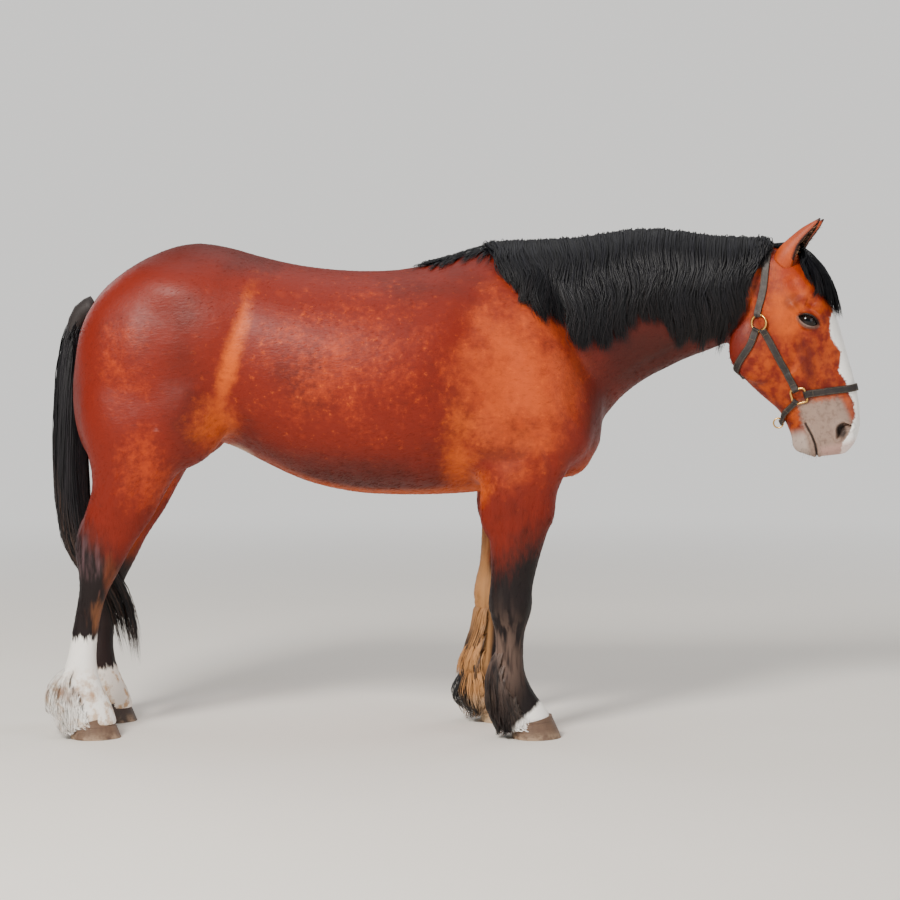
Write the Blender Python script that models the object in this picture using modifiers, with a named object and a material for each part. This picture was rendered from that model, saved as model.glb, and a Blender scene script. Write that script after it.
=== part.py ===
"""A bay heavy horse standing square in a leather halter, as a still life-size model in metres.

The horse faces +X, its left side is +Y, and its hooves stand at z = 0. Flesh is lofted from sections read
in the side view, joined with muscle masses, remeshed into one skin, and parted into nodes by thin cuts.
"""

import math
import random

import bmesh
import bpy
from mathutils import Matrix, Vector
from mathutils.bvhtree import BVHTree

for old in list(bpy.data.objects):
    bpy.data.objects.remove(old, do_unlink=True)

# Driving sizes in metres
GAP = 0.0003
VOXEL = 0.0095
HEAD_TURN = math.radians(12)
BEND_START = 0.50
BEND_END = 0.90
LEG_SPREAD = 0.165
EYE_RADIUS = 0.0260
STRAP_WIDTH = 0.024
STRAP_THICK = 0.005
RING_RADIUS = 0.0255
RING_WIRE = 0.0032
CORONET_FRONT = 0.084
CORONET_BACK = 0.046

# Sections of a form. Each row has the two ends of a section in the side view (x, z and x, z), half its
# width, where it is widest between those ends (0 to 1), and how square it is towards each end (2 is round).
TORSO = (
    (-1.215, 1.400, -1.215, 1.130, 0.100, 0.50, 2.0, 2.0),
    (-1.175, 1.470, -1.175, 1.050, 0.165, 0.50, 2.0, 2.0),
    (-1.090, 1.545, -1.090, 1.000, 0.225, 0.50, 2.1, 2.0),
    (-0.980, 1.606, -0.980, 0.985, 0.272, 0.50, 2.1, 2.0),
    (-0.860, 1.640, -0.860, 0.985, 0.298, 0.52, 2.1, 2.0),
    (-0.740, 1.626, -0.740, 0.965, 0.302, 0.55, 2.2, 2.0),
    (-0.620, 1.592, -0.620, 0.905, 0.312, 0.57, 2.2, 2.0),
    (-0.480, 1.563, -0.480, 0.843, 0.334, 0.57, 2.2, 2.1),
    (-0.320, 1.548, -0.320, 0.806, 0.348, 0.56, 2.2, 2.1),
    (-0.160, 1.553, -0.160, 0.797, 0.348, 0.55, 2.1, 2.1),
    (0.000, 1.590, 0.000, 0.799, 0.326, 0.54, 1.9, 2.1),
    (0.120, 1.628, 0.120, 0.810, 0.300, 0.54, 1.7, 2.2),
    (0.240, 1.618, 0.240, 0.828, 0.278, 0.54, 1.8, 2.2),
    (0.360, 1.520, 0.360, 0.855, 0.248, 0.50, 2.0, 2.2),
    (0.450, 1.380, 0.450, 0.895, 0.205, 0.50, 2.0, 2.2),
    (0.505, 1.220, 0.505, 0.965, 0.145, 0.50, 2.0, 2.1),
)
NECK = (
    (0.000, 1.585, 0.360, 0.950, 0.200, 0.55, 1.8, 2.0),
    (0.160, 1.632, 0.500, 1.040, 0.205, 0.55, 1.8, 2.0),
    (0.300, 1.643, 0.575, 1.122, 0.182, 0.56, 1.8, 2.0),
    (0.440, 1.657, 0.650, 1.180, 0.156, 0.57, 1.8, 2.0),
    (0.580, 1.678, 0.730, 1.222, 0.137, 0.57, 1.8, 2.1),
    (0.720, 1.682, 0.805, 1.258, 0.124, 0.57, 1.8, 2.1),
    (0.860, 1.664, 0.875, 1.283, 0.115, 0.55, 1.9, 2.1),
    (0.980, 1.648, 0.925, 1.310, 0.106, 0.50, 2.0, 2.1),
    (1.070, 1.636, 0.970, 1.365, 0.090, 0.50, 2.0, 2.1),
)
HEAD = (
    (1.095, 1.634, 0.985, 1.600, 0.055, 0.50, 2.2, 2.2),
    (1.155, 1.608, 0.975, 1.560, 0.080, 0.50, 2.3, 2.2),
    (1.215, 1.543, 0.960, 1.480, 0.096, 0.42, 2.5, 2.2),
    (1.257, 1.474, 0.945, 1.400, 0.106, 0.36, 2.7, 2.2),
    (1.287, 1.405, 0.936, 1.325, 0.108, 0.35, 2.6, 2.2),
    (1.309, 1.332, 0.943, 1.247, 0.101, 0.42, 2.3, 2.2),
    (1.328, 1.266, 0.988, 1.187, 0.091, 0.44, 2.1, 2.2),
    (1.347, 1.200, 1.048, 1.130, 0.079, 0.44, 2.1, 2.2),
    (1.361, 1.143, 1.102, 1.083, 0.070, 0.44, 2.1, 2.2),
    (1.369, 1.084, 1.132, 1.029, 0.069, 0.42, 2.2, 2.2),
    (1.368, 1.024, 1.152, 0.978, 0.072, 0.38, 2.3, 2.2),
    (1.350, 0.974, 1.176, 0.946, 0.063, 0.40, 2.3, 2.2),
    (1.322, 0.943, 1.214, 0.931, 0.040, 0.50, 2.2, 2.2),
)
# Sections of a leg, from the body down: height, front x, back x, half width, distance from the mid-plane
FORELEG = (
    (1.060, 0.440, 0.090, 0.080, 0.195),
    (0.940, 0.415, 0.085, 0.092, 0.203),
    (0.850, 0.367, 0.098, 0.090, 0.205),
    (0.770, 0.342, 0.117, 0.083, 0.203),
    (0.690, 0.322, 0.127, 0.075, 0.199),
    (0.610, 0.298, 0.134, 0.067, 0.194),
    (0.545, 0.281, 0.136, 0.062, 0.189),
    (0.490, 0.272, 0.130, 0.063, 0.186),
    (0.445, 0.272, 0.127, 0.066, 0.184),
    (0.400, 0.262, 0.138, 0.060, 0.182),
    (0.355, 0.248, 0.149, 0.050, 0.180),
    (0.290, 0.243, 0.151, 0.045, 0.177),
    (0.235, 0.246, 0.148, 0.047, 0.174),
    (0.195, 0.257, 0.140, 0.055, 0.172),
    (0.160, 0.274, 0.142, 0.057, 0.170),
    (0.125, 0.297, 0.160, 0.053, 0.167),
    (0.090, 0.323, 0.182, 0.060, 0.165),
    (0.045, 0.345, 0.195, 0.066, 0.165),
)
HINDLEG = (
    (1.160, -0.830, -1.225, 0.115, 0.185),
    (1.060, -0.805, -1.222, 0.125, 0.195),
    (0.980, -0.835, -1.205, 0.118, 0.200),
    (0.910, -0.878, -1.184, 0.105, 0.200),
    (0.840, -0.920, -1.170, 0.092, 0.197),
    (0.780, -0.955, -1.170, 0.079, 0.193),
    (0.720, -0.992, -1.192, 0.066, 0.188),
    (0.675, -1.025, -1.228, 0.059, 0.185),
    (0.635, -1.052, -1.238, 0.060, 0.183),
    (0.590, -1.076, -1.234, 0.061, 0.181),
    (0.540, -1.103, -1.226, 0.058, 0.179),
    (0.490, -1.130, -1.226, 0.052, 0.177),
    (0.430, -1.151, -1.236, 0.045, 0.175),
    (0.350, -1.166, -1.252, 0.042, 0.173),
    (0.275, -1.173, -1.266, 0.044, 0.171),
    (0.225, -1.169, -1.282, 0.050, 0.169),
    (0.180, -1.158, -1.290, 0.056, 0.168),
    (0.135, -1.138, -1.274, 0.053, 0.166),
    (0.095, -1.120, -1.262, 0.060, 0.165),
    (0.045, -1.106, -1.256, 0.066, 0.165),
)
# The left foreleg stands a little behind the right one: how far, at each height
LEFT_FORE_BACK = ((0.0, -0.100), (0.10, -0.100), (0.445, -0.045), (0.85, 0.0), (1.2, 0.0))
LEFT_HIND_BACK = ((0.0, 0.014), (0.50, 0.012), (0.90, 0.0), (1.2, 0.0))

# Muscles and bony masses, on both sides: centre, radii, turn about Y, and lean towards the middle
MASSES = (
    ((-0.870, 0.120, 1.430), (0.270, 0.160, 0.150), 8, 10),
    ((-0.985, 0.160, 1.260), (0.250, 0.145, 0.290), 0, 6),
    ((-1.135, 0.120, 1.180), (0.115, 0.115, 0.280), 4, 0),
    ((-0.905, 0.200, 1.085), (0.185, 0.118, 0.200), 20, 0),
    ((-1.045, 0.195, 0.900), (0.125, 0.088, 0.170), 24, 0),
    ((-1.196, 0.182, 0.665), (0.028, 0.026, 0.070), -8, 0),
    ((0.225, 0.170, 1.250), (0.150, 0.110, 0.330), -24, 12),
    ((0.140, 0.195, 1.060), (0.190, 0.105, 0.185), 0, 0),
    ((0.360, 0.160, 1.060), (0.120, 0.100, 0.160), -10, 10),
    ((0.385, 0.085, 0.965), (0.100, 0.085, 0.110), 0, 0),
    ((0.276, 0.203, 0.830), (0.074, 0.074, 0.150), -8, 0),
    ((0.165, 0.203, 0.800), (0.070, 0.066, 0.140), 6, 0),
    ((0.205, 0.185, 0.448), (0.062, 0.060, 0.052), 0, 0),
    ((1.050, 0.064, 1.290), (0.112, 0.036, 0.115), 0, 0),
    ((1.212, 0.084, 1.390), (0.046, 0.030, 0.036), -20, 0),
    ((1.232, 0.070, 1.265), (0.022, 0.018, 0.110), -14, 0),
    ((1.322, 0.048, 1.012), (0.036, 0.026, 0.046), -14, 0),
    ((1.180, 0.018, 0.985), (0.034, 0.030, 0.042), 0, 0),
)

# Hair in the side view: where the locks of each kind end, from back to front or from the top down
MANE_TIPS = (
    (0.170, 1.575), (0.227, 1.444), (0.285, 1.394), (0.336, 1.355), (0.380, 1.343), (0.432, 1.265),
    (0.483, 1.252), (0.546, 1.300), (0.591, 1.330), (0.642, 1.410), (0.706, 1.368), (0.738, 1.316),
    (0.770, 1.277), (0.833, 1.290), (0.891, 1.316), (0.923, 1.407), (0.948, 1.445), (0.987, 1.497),
    (1.018, 1.600),
)
MANE_ROOTS = (0.130, 1.045)
TAIL_SPINE = (
    (-1.190, 1.430), (-1.238, 1.400), (-1.266, 1.320), (-1.274, 1.200), (-1.276, 1.050), (-1.278, 0.900),
    (-1.276, 0.750), (-1.270, 0.620), (-1.252, 0.500), (-1.205, 0.380), (-1.145, 0.280), (-1.090, 0.205),
)
FORE_FEATHER = ((0.130, 0.366), (0.121, 0.290), (0.108, 0.176), (0.111, 0.091), (0.151, 0.030))
HIND_FEATHER = ((-1.282, 0.343), (-1.300, 0.246), (-1.340, 0.170), (-1.338, 0.107), (-1.300, 0.045))
# Layers of the mane from the skin out: locks, how much shorter, and clearance
MANE_LAYERS = ((16, 0.0, 0.005), (11, 0.22, 0.023))
MANE_BUNCHES = 10
MANE_GATHER = 0.35
MANE_SWAY = 0.018
MANE_SEED = 3
WITHERS_LOCKS = 3
WITHERS_FROM = 0.100
WITHERS_STEP = 0.055
TAIL_LOCKS = 13
# Each lock of a feather: its level from the top, and its place round the back of the leg
FEATHER_LOCKS = ((0, -1), (0, 0), (0, 1), (1, -0.5), (1, 0.5), (2, -1), (2, 0), (2, 1))
FORELOCK_LOCKS = 6
FEATHER_CURL = 0.62
LOCK_THICK = 0.006

# Lines, in the side view, of the thin cuts between nodes
NECK_CUT = ((0.060, 1.700), (0.545, 1.000))
HEAD_CUT = ((1.078, 1.700), (0.915, 1.250))
FORE_TOP = ((-0.150, 0.772), (0.620, 0.862))
FORE_KNEE = 0.385
HIND_TOP = ((-0.800, 0.800), (-1.250, 0.950))
HIND_HOCK = 0.470
OUTSIDE = 3.0
REACH = 0.30
SLIVERS = (0.0012, 0.0005, 0.0002, 0.0001, 0.0)
MEET = 0.000005
TRIES = 8
NUDGE = 0.00015
FLAT = math.radians(2.0)


def material(name, colour, roughness, metallic=0.0):
    made = bpy.data.materials.new(name)
    made.use_nodes = True
    shader = made.node_tree.nodes["Principled BSDF"]
    shader.inputs["Base Color"].default_value = (*colour, 1.0)
    shader.inputs["Roughness"].default_value = roughness
    shader.inputs["Metallic"].default_value = metallic
    return made


def collection(name):
    made = bpy.data.collections.new(name)
    bpy.context.scene.collection.children.link(made)
    return made


MATERIALS = {
    "bay_coat": material("bay_coat", (0.30, 0.075, 0.025), 0.45),
    "black_points": material("black_points", (0.025, 0.020, 0.020), 0.5),
    "hoof_horn": material("hoof_horn", (0.20, 0.14, 0.10), 0.6),
    "eye": material("eye", (0.015, 0.008, 0.005), 0.08),
    "halter_leather": material("halter_leather", (0.045, 0.040, 0.036), 0.5),
    "brass": material("brass", (0.72, 0.50, 0.22), 0.3, 1.0),
}
HORSE = collection("heavy_horse")
GUIDES = collection("guides")


def spline(rows, t):
    """The row at t (0 to the last row's number), on a Catmull-Rom curve through all the rows."""
    last = len(rows) - 1
    i = min(int(t), last - 1)
    u = t - i
    quad = [rows[max(0, min(last, i + k))] for k in (-1, 0, 1, 2)]
    return [
        0.5 * (2 * b + (c - a) * u + (2 * a - 5 * b + 4 * c - d) * u * u + (3 * b - a - 3 * c + d) * u**3)
        for a, b, c, d in zip(*quad)
    ]


def between(stops, at):
    """The value at one place of a broken line of (place, value) stops."""
    for (x0, v0), (x1, v1) in zip(stops, stops[1:]):
        if at <= x1:
            return v0 + (v1 - v0) * max(0.0, (at - x0) / (x1 - x0))
    return stops[-1][1]


def ring(row, sides, y=0.0):
    """The points of one section: a superellipse in the plane that holds its two ends and the Y axis."""
    ax, az, bx, bz, half, wide, na, nb = row
    a = Vector((ax, y, az))
    b = Vector((bx, y, bz))
    middle = a.lerp(b, wide)
    points = []
    for k in range(sides):
        angle = math.tau * k / sides
        c = math.cos(angle)
        s = math.sin(angle)
        power = 2 / (na if s >= 0 else nb)
        reach = (a - middle) if s >= 0 else (b - middle)
        across = math.copysign(abs(c) ** power, c) * half
        points.append(middle + reach * abs(s) ** power + Vector((0, across, 0)))
    return points


def loft(bm, rings):
    """A closed skin over rings that all have the same number of points."""
    made = [[bm.verts.new(p) for p in points] for points in rings]
    count = len(made[0])
    for low, high in zip(made, made[1:]):
        for k in range(count):
            n = (k + 1) % count
            bm.faces.new((low[k], low[n], high[n], high[k]))
    bm.faces.new(made[0][::-1])
    bm.faces.new(made[-1])


def form(rows, sides=36, steps=4, y=0.0):
    """The rings of a body form, with steps rings for each span between its rows."""
    count = (len(rows) - 1) * steps
    return [ring(spline(rows, i / steps), sides, y) for i in range(count + 1)]


def leg_rings(rows, side, back, sides=24, steps=3):
    """The rings of one leg. side is -1 on the right and 1 on the left, back its shift at each height."""
    rings = []
    for i in range((len(rows) - 1) * steps + 1):
        z, front, rear, half, y = spline(rows, i / steps)
        shift = between(back, z) if back else 0.0
        row = (front + shift, z, rear + shift, z, half, 0.5, 2.1, 2.1)
        rings.append(ring(row, sides, side * y))
    return rings


def new_object(name, bm, slot, where):
    """An object from a bmesh, with its faces pointing out."""
    bmesh.ops.recalc_face_normals(bm, faces=bm.faces)
    mesh = bpy.data.meshes.new(name)
    bm.to_mesh(mesh)
    bm.free()
    made = bpy.data.objects.new(name, mesh)
    made.data.materials.append(MATERIALS[slot])
    where.objects.link(made)
    if where is GUIDES:
        made.hide_render = True
        made.display_type = "WIRE"
    return made


def evaluated(obj):
    """A bmesh of the object as its modifiers leave it, in world space."""
    bpy.context.view_layer.update()
    graph = bpy.context.evaluated_depsgraph_get()
    mesh = bpy.data.meshes.new_from_object(obj.evaluated_get(graph))
    bm = bmesh.new()
    bm.from_mesh(mesh)
    bm.transform(obj.matrix_world)
    bpy.data.meshes.remove(mesh)
    return bm


def settle(obj):
    """Applies the modifiers, so that the object's own mesh has their shape."""
    bm = evaluated(obj)
    obj.modifiers.clear()
    bm.to_mesh(obj.data)
    bm.free()
    return obj


def add_mass(bm, centre, radii, turn, lean, side):
    x, y, z = centre
    place = (
        Matrix.Translation((x, side * y, z))
        @ Matrix.Rotation(side * math.radians(lean), 4, "X")
        @ Matrix.Rotation(math.radians(turn), 4, "Y")
        @ Matrix.Diagonal((*radii, 1.0))
    )
    bmesh.ops.create_uvsphere(bm, u_segments=20, v_segments=12, radius=1.0, matrix=place)


def smooth(obj, name, weight, rounds):
    """Relaxes the mesh where weight(point) is over 0."""
    group = obj.vertex_groups.new(name=name)
    for v in obj.data.vertices:
        w = weight(v.co)
        if w > 0:
            group.add([v.index], w, "REPLACE")
    relax = obj.modifiers.new(name, "SMOOTH")
    relax.factor = 0.5
    relax.iterations = rounds
    relax.vertex_group = name


def flesh():
    """The whole skin without hair, ears, eyes and hooves, as one fine closed mesh."""
    bm = bmesh.new()
    loft(bm, form(TORSO, 48))
    loft(bm, form(NECK, 40))
    loft(bm, form(HEAD, 40))
    for side in (-1, 1):
        left = side > 0
        loft(bm, leg_rings(FORELEG, side, LEFT_FORE_BACK if left else None))
        loft(bm, leg_rings(HINDLEG, side, LEFT_HIND_BACK if left else None))
        for centre, radii, turn, lean in MASSES:
            x, y, z = centre
            back = 0.0
            if left:
                back = between(LEFT_FORE_BACK if x > 0 else LEFT_HIND_BACK, z)
            add_mass(bm, (x + back, y, z), radii, turn, lean, side)
    body = new_object("flesh", bm, "bay_coat", GUIDES)
    remesh = body.modifiers.new("one_skin", "REMESH")
    remesh.mode = "VOXEL"
    remesh.voxel_size = VOXEL
    settle(body)
    smooth(body, "all_over", lambda p: 1.0, 5)
    smooth(body, "trunk", lambda p: min(1.0, max(0.0, (p.z - 0.72) / 0.1)) * (p.x < 0.93), 60)
    return settle(body)


def bisect(bm, point, outward):
    """Keeps the side of a plane that outward points away from, and closes the cut with a flat face."""
    everything = bm.verts[:] + bm.edges[:] + bm.faces[:]
    bmesh.ops.bisect_plane(bm, geom=everything, plane_co=point, plane_no=outward, clear_outer=True)
    rim = [e for e in bm.edges if e.is_boundary]
    bmesh.ops.holes_fill(bm, edges=rim, sides=0)


def line_plane(line, keep, shift=0.0):
    """A plane along Y through a line of the side view, facing away from keep, moved inwards by shift."""
    (ax, az), (bx, bz) = line
    normal = Vector((bz - az, 0, ax - bx)).normalized()
    point = Vector((ax, 0, az))
    if (Vector((keep[0], 0, keep[1])) - point).dot(normal) > 0:
        normal.negate()
    return point - normal * shift, normal


def part_of(source, name, cuts, triangles, slot, margin=0.03):
    """A node cut from the fine skin: trimmed roughly, thinned to about that many faces, then cut true."""
    bm = bmesh.new()
    bm.from_mesh(source.data)
    for point, outward in cuts:
        bisect(bm, point + outward * margin, outward)
    keep_largest(bm)
    made = new_object(name, bm, slot, HORSE)
    made.data.calc_loop_triangles()
    thin = made.modifiers.new("thin", "DECIMATE")
    thin.ratio = min(1.0, triangles / len(made.data.loop_triangles))
    settle(made)
    bm = bmesh.new()
    bm.from_mesh(made.data)
    for point, outward in cuts:
        bisect(bm, point - outward * GAP / 2, outward)
    keep_largest(bm)
    bmesh.ops.triangulate(bm, faces=bm.faces)
    bm.to_mesh(made.data)
    bm.free()
    return made


def islands(bm):
    """The connected groups of faces."""
    left = set(bm.faces)
    found = []
    while left:
        stack = [left.pop()]
        group = list(stack)
        while stack:
            for edge in stack.pop().edges:
                for face in edge.link_faces:
                    if face in left:
                        left.remove(face)
                        stack.append(face)
                        group.append(face)
        found.append(group)
    return found


def volume_of(group):
    total = 0.0
    for face in group:
        a = face.verts[0].co
        for b, c in zip(face.verts[1:], face.verts[2:]):
            total += a.dot(b.co.cross(c.co)) / 6
    return abs(total)


def keep_largest(bm):
    groups = sorted(islands(bm), key=volume_of)
    spare = [face for group in groups[:-1] for face in group]
    if spare:
        bmesh.ops.delete(bm, geom=spare, context="FACES")
    loose = [v for v in bm.verts if not v.link_faces]
    bmesh.ops.delete(bm, geom=loose, context="VERTS")


def merge_small(bm, slivers, flat):
    """Closes up slivers that a Boolean leaves and joins faces in one plane while the surface stays closed."""
    bmesh.ops.triangulate(bm, faces=bm.faces)
    for sliver in slivers:
        trial = bm.copy()
        if sliver:
            bmesh.ops.dissolve_degenerate(trial, dist=sliver, edges=trial.edges)
        bmesh.ops.dissolve_limit(trial, angle_limit=flat, verts=trial.verts, edges=trial.edges)
        bmesh.ops.triangulate(trial, faces=trial.faces)
        if sound(trial):
            bm.free()
            return trial
        trial.free()
    return bm


def sound(bm):
    """Whether this is one closed surface, also once corners that all but meet are one."""
    joined = bm.copy()
    bmesh.ops.remove_doubles(joined, verts=joined.verts, dist=MEET)
    same = len(joined.verts) == len(bm.verts)
    joined.free()
    return same and all(e.is_manifold for e in bm.edges) and len(islands(bm)) == 1


def boolean(obj, operation, pieces, solver="MANIFOLD"):
    """Joins or cuts obj with all the pieces at once, removes them, and keeps the largest closed surface.

    Where two edges fall on one another, the pieces are moved by a hair and it is done again.
    """
    tools = bpy.data.collections.new(obj.name + "_" + operation.lower())
    bpy.context.scene.collection.children.link(tools)
    for piece in pieces:
        for home in list(piece.users_collection):
            home.objects.unlink(piece)
        tools.objects.link(piece)
        piece.hide_render = True
    cut = obj.modifiers.new(operation.lower(), "BOOLEAN")
    cut.operation = operation
    cut.operand_type = "COLLECTION"
    cut.collection = tools
    cut.solver = solver
    for attempt in range(TRIES):
        bm = evaluated(obj)
        keep_largest(bm)
        if operation == "UNION":
            bm = merge_small(bm, SLIVERS, FLAT)
        else:
            bm = merge_small(bm, SLIVERS[-3:], FLAT / 20)
        if sound(bm):
            break
        for i, piece in enumerate(pieces):
            turn = i * 2.4 + attempt
            piece.location += Vector((math.sin(turn), math.cos(turn * 1.3), math.sin(turn * 0.7))) * NUDGE
    obj.modifiers.clear()
    bm.to_mesh(obj.data)
    bm.free()
    for piece in pieces:
        bpy.data.objects.remove(piece)
    bpy.data.collections.remove(tools)
    return obj


def grown(obj, by=GAP * 1.3):
    """A copy of a node whose surface stands out by a small gap, to cut its neighbours clear of it."""
    copy = bpy.data.objects.new(obj.name + "_grown", obj.data.copy())
    GUIDES.objects.link(copy)
    copy.hide_render = True
    swell = copy.modifiers.new("swell", "DISPLACE")
    swell.strength = by
    swell.mid_level = 0.0
    return settle(copy)


def ball(name, centre, radii, slot, where, turn=0.0, segments=20, rings=12):
    bm = bmesh.new()
    place = (
        Matrix.Translation(centre)
        @ Matrix.Rotation(math.radians(turn), 4, "Y")
        @ Matrix.Diagonal((*radii, 1.0))
    )
    bmesh.ops.create_uvsphere(bm, u_segments=segments, v_segments=rings, radius=1.0, matrix=place)
    bmesh.ops.triangulate(bm, faces=bm.faces)
    return new_object(name, bm, slot, where)


def head_point(s, t, y=0.0):
    """A place on the head: s down the face from the poll, t forward of that line, y to the left."""
    return Vector((1.117 + 0.237 * s + 0.971 * t, y, 1.640 - 0.971 * s + 0.237 * t))


def tube(bm, points, radii, sides=8, closed=False):
    """A round tube, or a closed loop of one, along points."""
    rings = []
    count = len(points)
    a = None
    for i, p in enumerate(points):
        ahead = points[(i + 1) % count] if closed or i < count - 1 else p
        behind = points[i - 1] if closed or i > 0 else p
        along = (ahead - behind).normalized()
        if a is None:
            a = along.orthogonal()
        a = (a - along * a.dot(along)).normalized()
        b = along.cross(a)
        turn = [math.tau * k / sides for k in range(sides)]
        rings.append([p + (a * math.cos(w) + b * math.sin(w)) * radii[i] for w in turn])
    if not closed:
        loft(bm, rings)
        return
    made = [[bm.verts.new(p) for p in points] for points in rings]
    for i in range(count):
        low, high = made[i], made[(i + 1) % count]
        start = min(range(sides), key=lambda k: (high[k].co - low[0].co).length)
        for k in range(sides):
            n = (k + 1) % sides
            bm.faces.new((low[k], low[n], high[(n + start) % sides], high[(k + start) % sides]))


class Skin:
    """Looks up places on the fine flesh."""

    def __init__(self, obj):
        mesh = obj.data
        self.tree = BVHTree.FromPolygons([v.co for v in mesh.vertices], [p.vertices for p in mesh.polygons])

    def aside(self, x, z, side=-1):
        """How far the surface stands out from the mid-plane at x and z, or None beyond the flesh."""
        hit = self.tree.ray_cast(Vector((x, side * OUTSIDE, z)), Vector((0, -side, 0)))[0]
        return None if hit is None else side * hit.y

    def top(self, x, y=0.0):
        hit = self.tree.ray_cast(Vector((x, y, OUTSIDE)), Vector((0, 0, -1)))[0]
        return hit.z

    def around(self, centre, direction):
        """The outermost surface within REACH of a centre along a direction, and the way out there."""
        start = centre + direction.normalized() * REACH
        hit, normal, _, _ = self.tree.ray_cast(start, -direction.normalized())
        return hit, normal

    def clear(self, p, clearance):
        """The point itself, or the nearest one that stands clear of the surface."""
        near, normal, _, distance = self.tree.find_nearest(p)
        inside = (p - near).dot(normal) < 0
        if not inside and distance >= clearance:
            return p
        return near + normal * clearance


def strand(bm, points, across, widths, thicks):
    """A flat lock with a diamond section along points, ending in a point."""
    made = []
    last = len(points) - 1
    for i, p in enumerate(points[:-1]):
        along = (points[i + 1] - points[max(0, i - 1)]).normalized()
        flat = (across[i] - along * across[i].dot(along)).normalized()
        out = along.cross(flat)
        w = flat * widths[i] / 2
        h = out * thicks[i] / 2
        made.append([bm.verts.new(q) for q in (p - w, p + h, p + w, p - h)])
    tip = bm.verts.new(points[last])
    for low, high in zip(made, made[1:]):
        for k in range(4):
            n = (k + 1) % 4
            bm.faces.new((low[k], low[n], high[n], high[k]))
    bm.faces.new(made[0][::-1])
    for k in range(4):
        bm.faces.new((made[-1][k], made[-1][(k + 1) % 4], tip))


def taper(count, width, root=0.7, full=0.35, end=0.3):
    """Widths of a lock from its root, widest at full of its length, to a narrow end."""
    widths = []
    for i in range(count):
        t = i / (count - 1)
        if t < full:
            widths.append(width * (root + (1 - root) * t / full))
        else:
            widths.append(width * (1 - (1 - end) * ((t - full) / (1 - full)) ** 1.5))
    return widths


def single(name, make):
    """One guide object with the closed surface that make adds to an empty mesh."""
    bm = bmesh.new()
    make(bm)
    bmesh.ops.triangulate(bm, faces=bm.faces)
    return new_object(name, bm, "black_points", GUIDES)


def broken(points, t):
    """The place at t (0 to 1) along a broken line, by its points' numbers."""
    at = t * (len(points) - 1)
    i = min(int(at), len(points) - 2)
    return Vector(points[i]).lerp(Vector(points[i + 1]), at - i)


def mane_locks(skin, rng):
    """Locks from the crest down the near side of the neck, in layers that lie over each other."""
    made = []
    for layer, (count, shorter, lift) in enumerate(MANE_LAYERS):
        for i in range(count):
            t = min(1.0, max(0.0, (i + 0.35 + 0.3 * layer + rng.uniform(-0.15, 0.15)) / count))
            root = MANE_ROOTS[0] + (MANE_ROOTS[1] - MANE_ROOTS[0]) * t
            bunch = round(t * MANE_BUNCHES) / MANE_BUNCHES
            drawn = t + (bunch - t) * MANE_GATHER
            tip_x = MANE_TIPS[0][0] + (MANE_TIPS[-1][0] - MANE_TIPS[0][0]) * drawn + rng.uniform(-0.008, 0.008)
            crest = skin.top(root)
            low = between(MANE_TIPS, tip_x)
            tip_z = low + (crest - low) * (shorter + rng.uniform(0.0, 0.10))
            made.append(mane_lock(skin, rng, root, crest, tip_x, tip_z, lift + 0.009 * (i % 2)))
    return made


def withers_locks(skin, rng):
    """The thin end of the mane, short locks that lie back and down over the withers."""
    made = []
    for i in range(WITHERS_LOCKS):
        root = WITHERS_FROM - WITHERS_STEP * i
        crest = skin.top(root)
        made.append(mane_lock(skin, rng, root, crest, root - 0.045, crest - 0.075 + 0.008 * i, 0.004))
    return made


def mane_lock(skin, rng, root, crest, tip_x, tip_z, clearance):
    """A lock that starts in the crest, bends over it and sways down the neck. Neighbours sway together."""
    count = 6
    wave = 11.0 * root + rng.uniform(-0.6, 0.6)
    points = [
        Vector((root, 0.006, crest - 0.024)),
        Vector((root - 0.004, -0.008, crest + 0.008 + clearance * 0.5)),
    ]
    for k in range(1, count - 1):
        t = k / (count - 2)
        x = root + (tip_x - root) * t + MANE_SWAY * math.sin(wave + 4.5 * t) * math.sin(math.pi * t)
        z = crest + (tip_z - crest) * t
        if k == 1:
            z = crest - 0.034
        y = skin.aside(x, min(z, crest - 0.012)) or 0.05
        near = clearance * (1 - 0.6 * t * t)
        points.append(skin.clear(Vector((x, -y - near, z)), near))
    across = [Vector((1, 0, 0))] * len(points)
    widths = taper(len(points), rng.uniform(0.040, 0.054), root=0.75, end=0.3)
    thicks = taper(len(points), LOCK_THICK, root=0.8, end=0.35)
    return lambda bm: strand(bm, points, across, widths, thicks)


def forelock_locks(skin, rng):
    """Locks from between the ears down over the forehead."""
    made = []
    for i in range(FORELOCK_LOCKS):
        a = (i + 0.5) / FORELOCK_LOCKS * 2 - 1
        length = 0.275 - 0.11 * abs(a) + rng.uniform(-0.02, 0.02)
        points = []
        count = 6
        for k in range(count):
            t = k / (count - 1)
            s = 0.035 + length * t
            y = -0.006 + a * (0.022 + 0.034 * t**0.7)
            far = head_point(s, 1.0, y)
            hit, _ = skin.around(head_point(s, -0.05, y), far - head_point(s, -0.05, y))
            lift = -0.016 if k == 0 else 0.007 + 0.006 * math.sin(math.pi * t) + 0.008 * (i % 2)
            points.append(hit + Vector((0.971, 0, 0.237)) * lift)
        across = [Vector((0, 1, 0))] * count
        widths = taper(count, rng.uniform(0.018, 0.026), root=0.8, end=0.2)
        thicks = taper(count, 0.007, root=0.8, end=0.3)
        made.append(lambda bm, p=points, c=across, w=widths, h=thicks: strand(bm, p, c, w, h))
    return made


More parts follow.
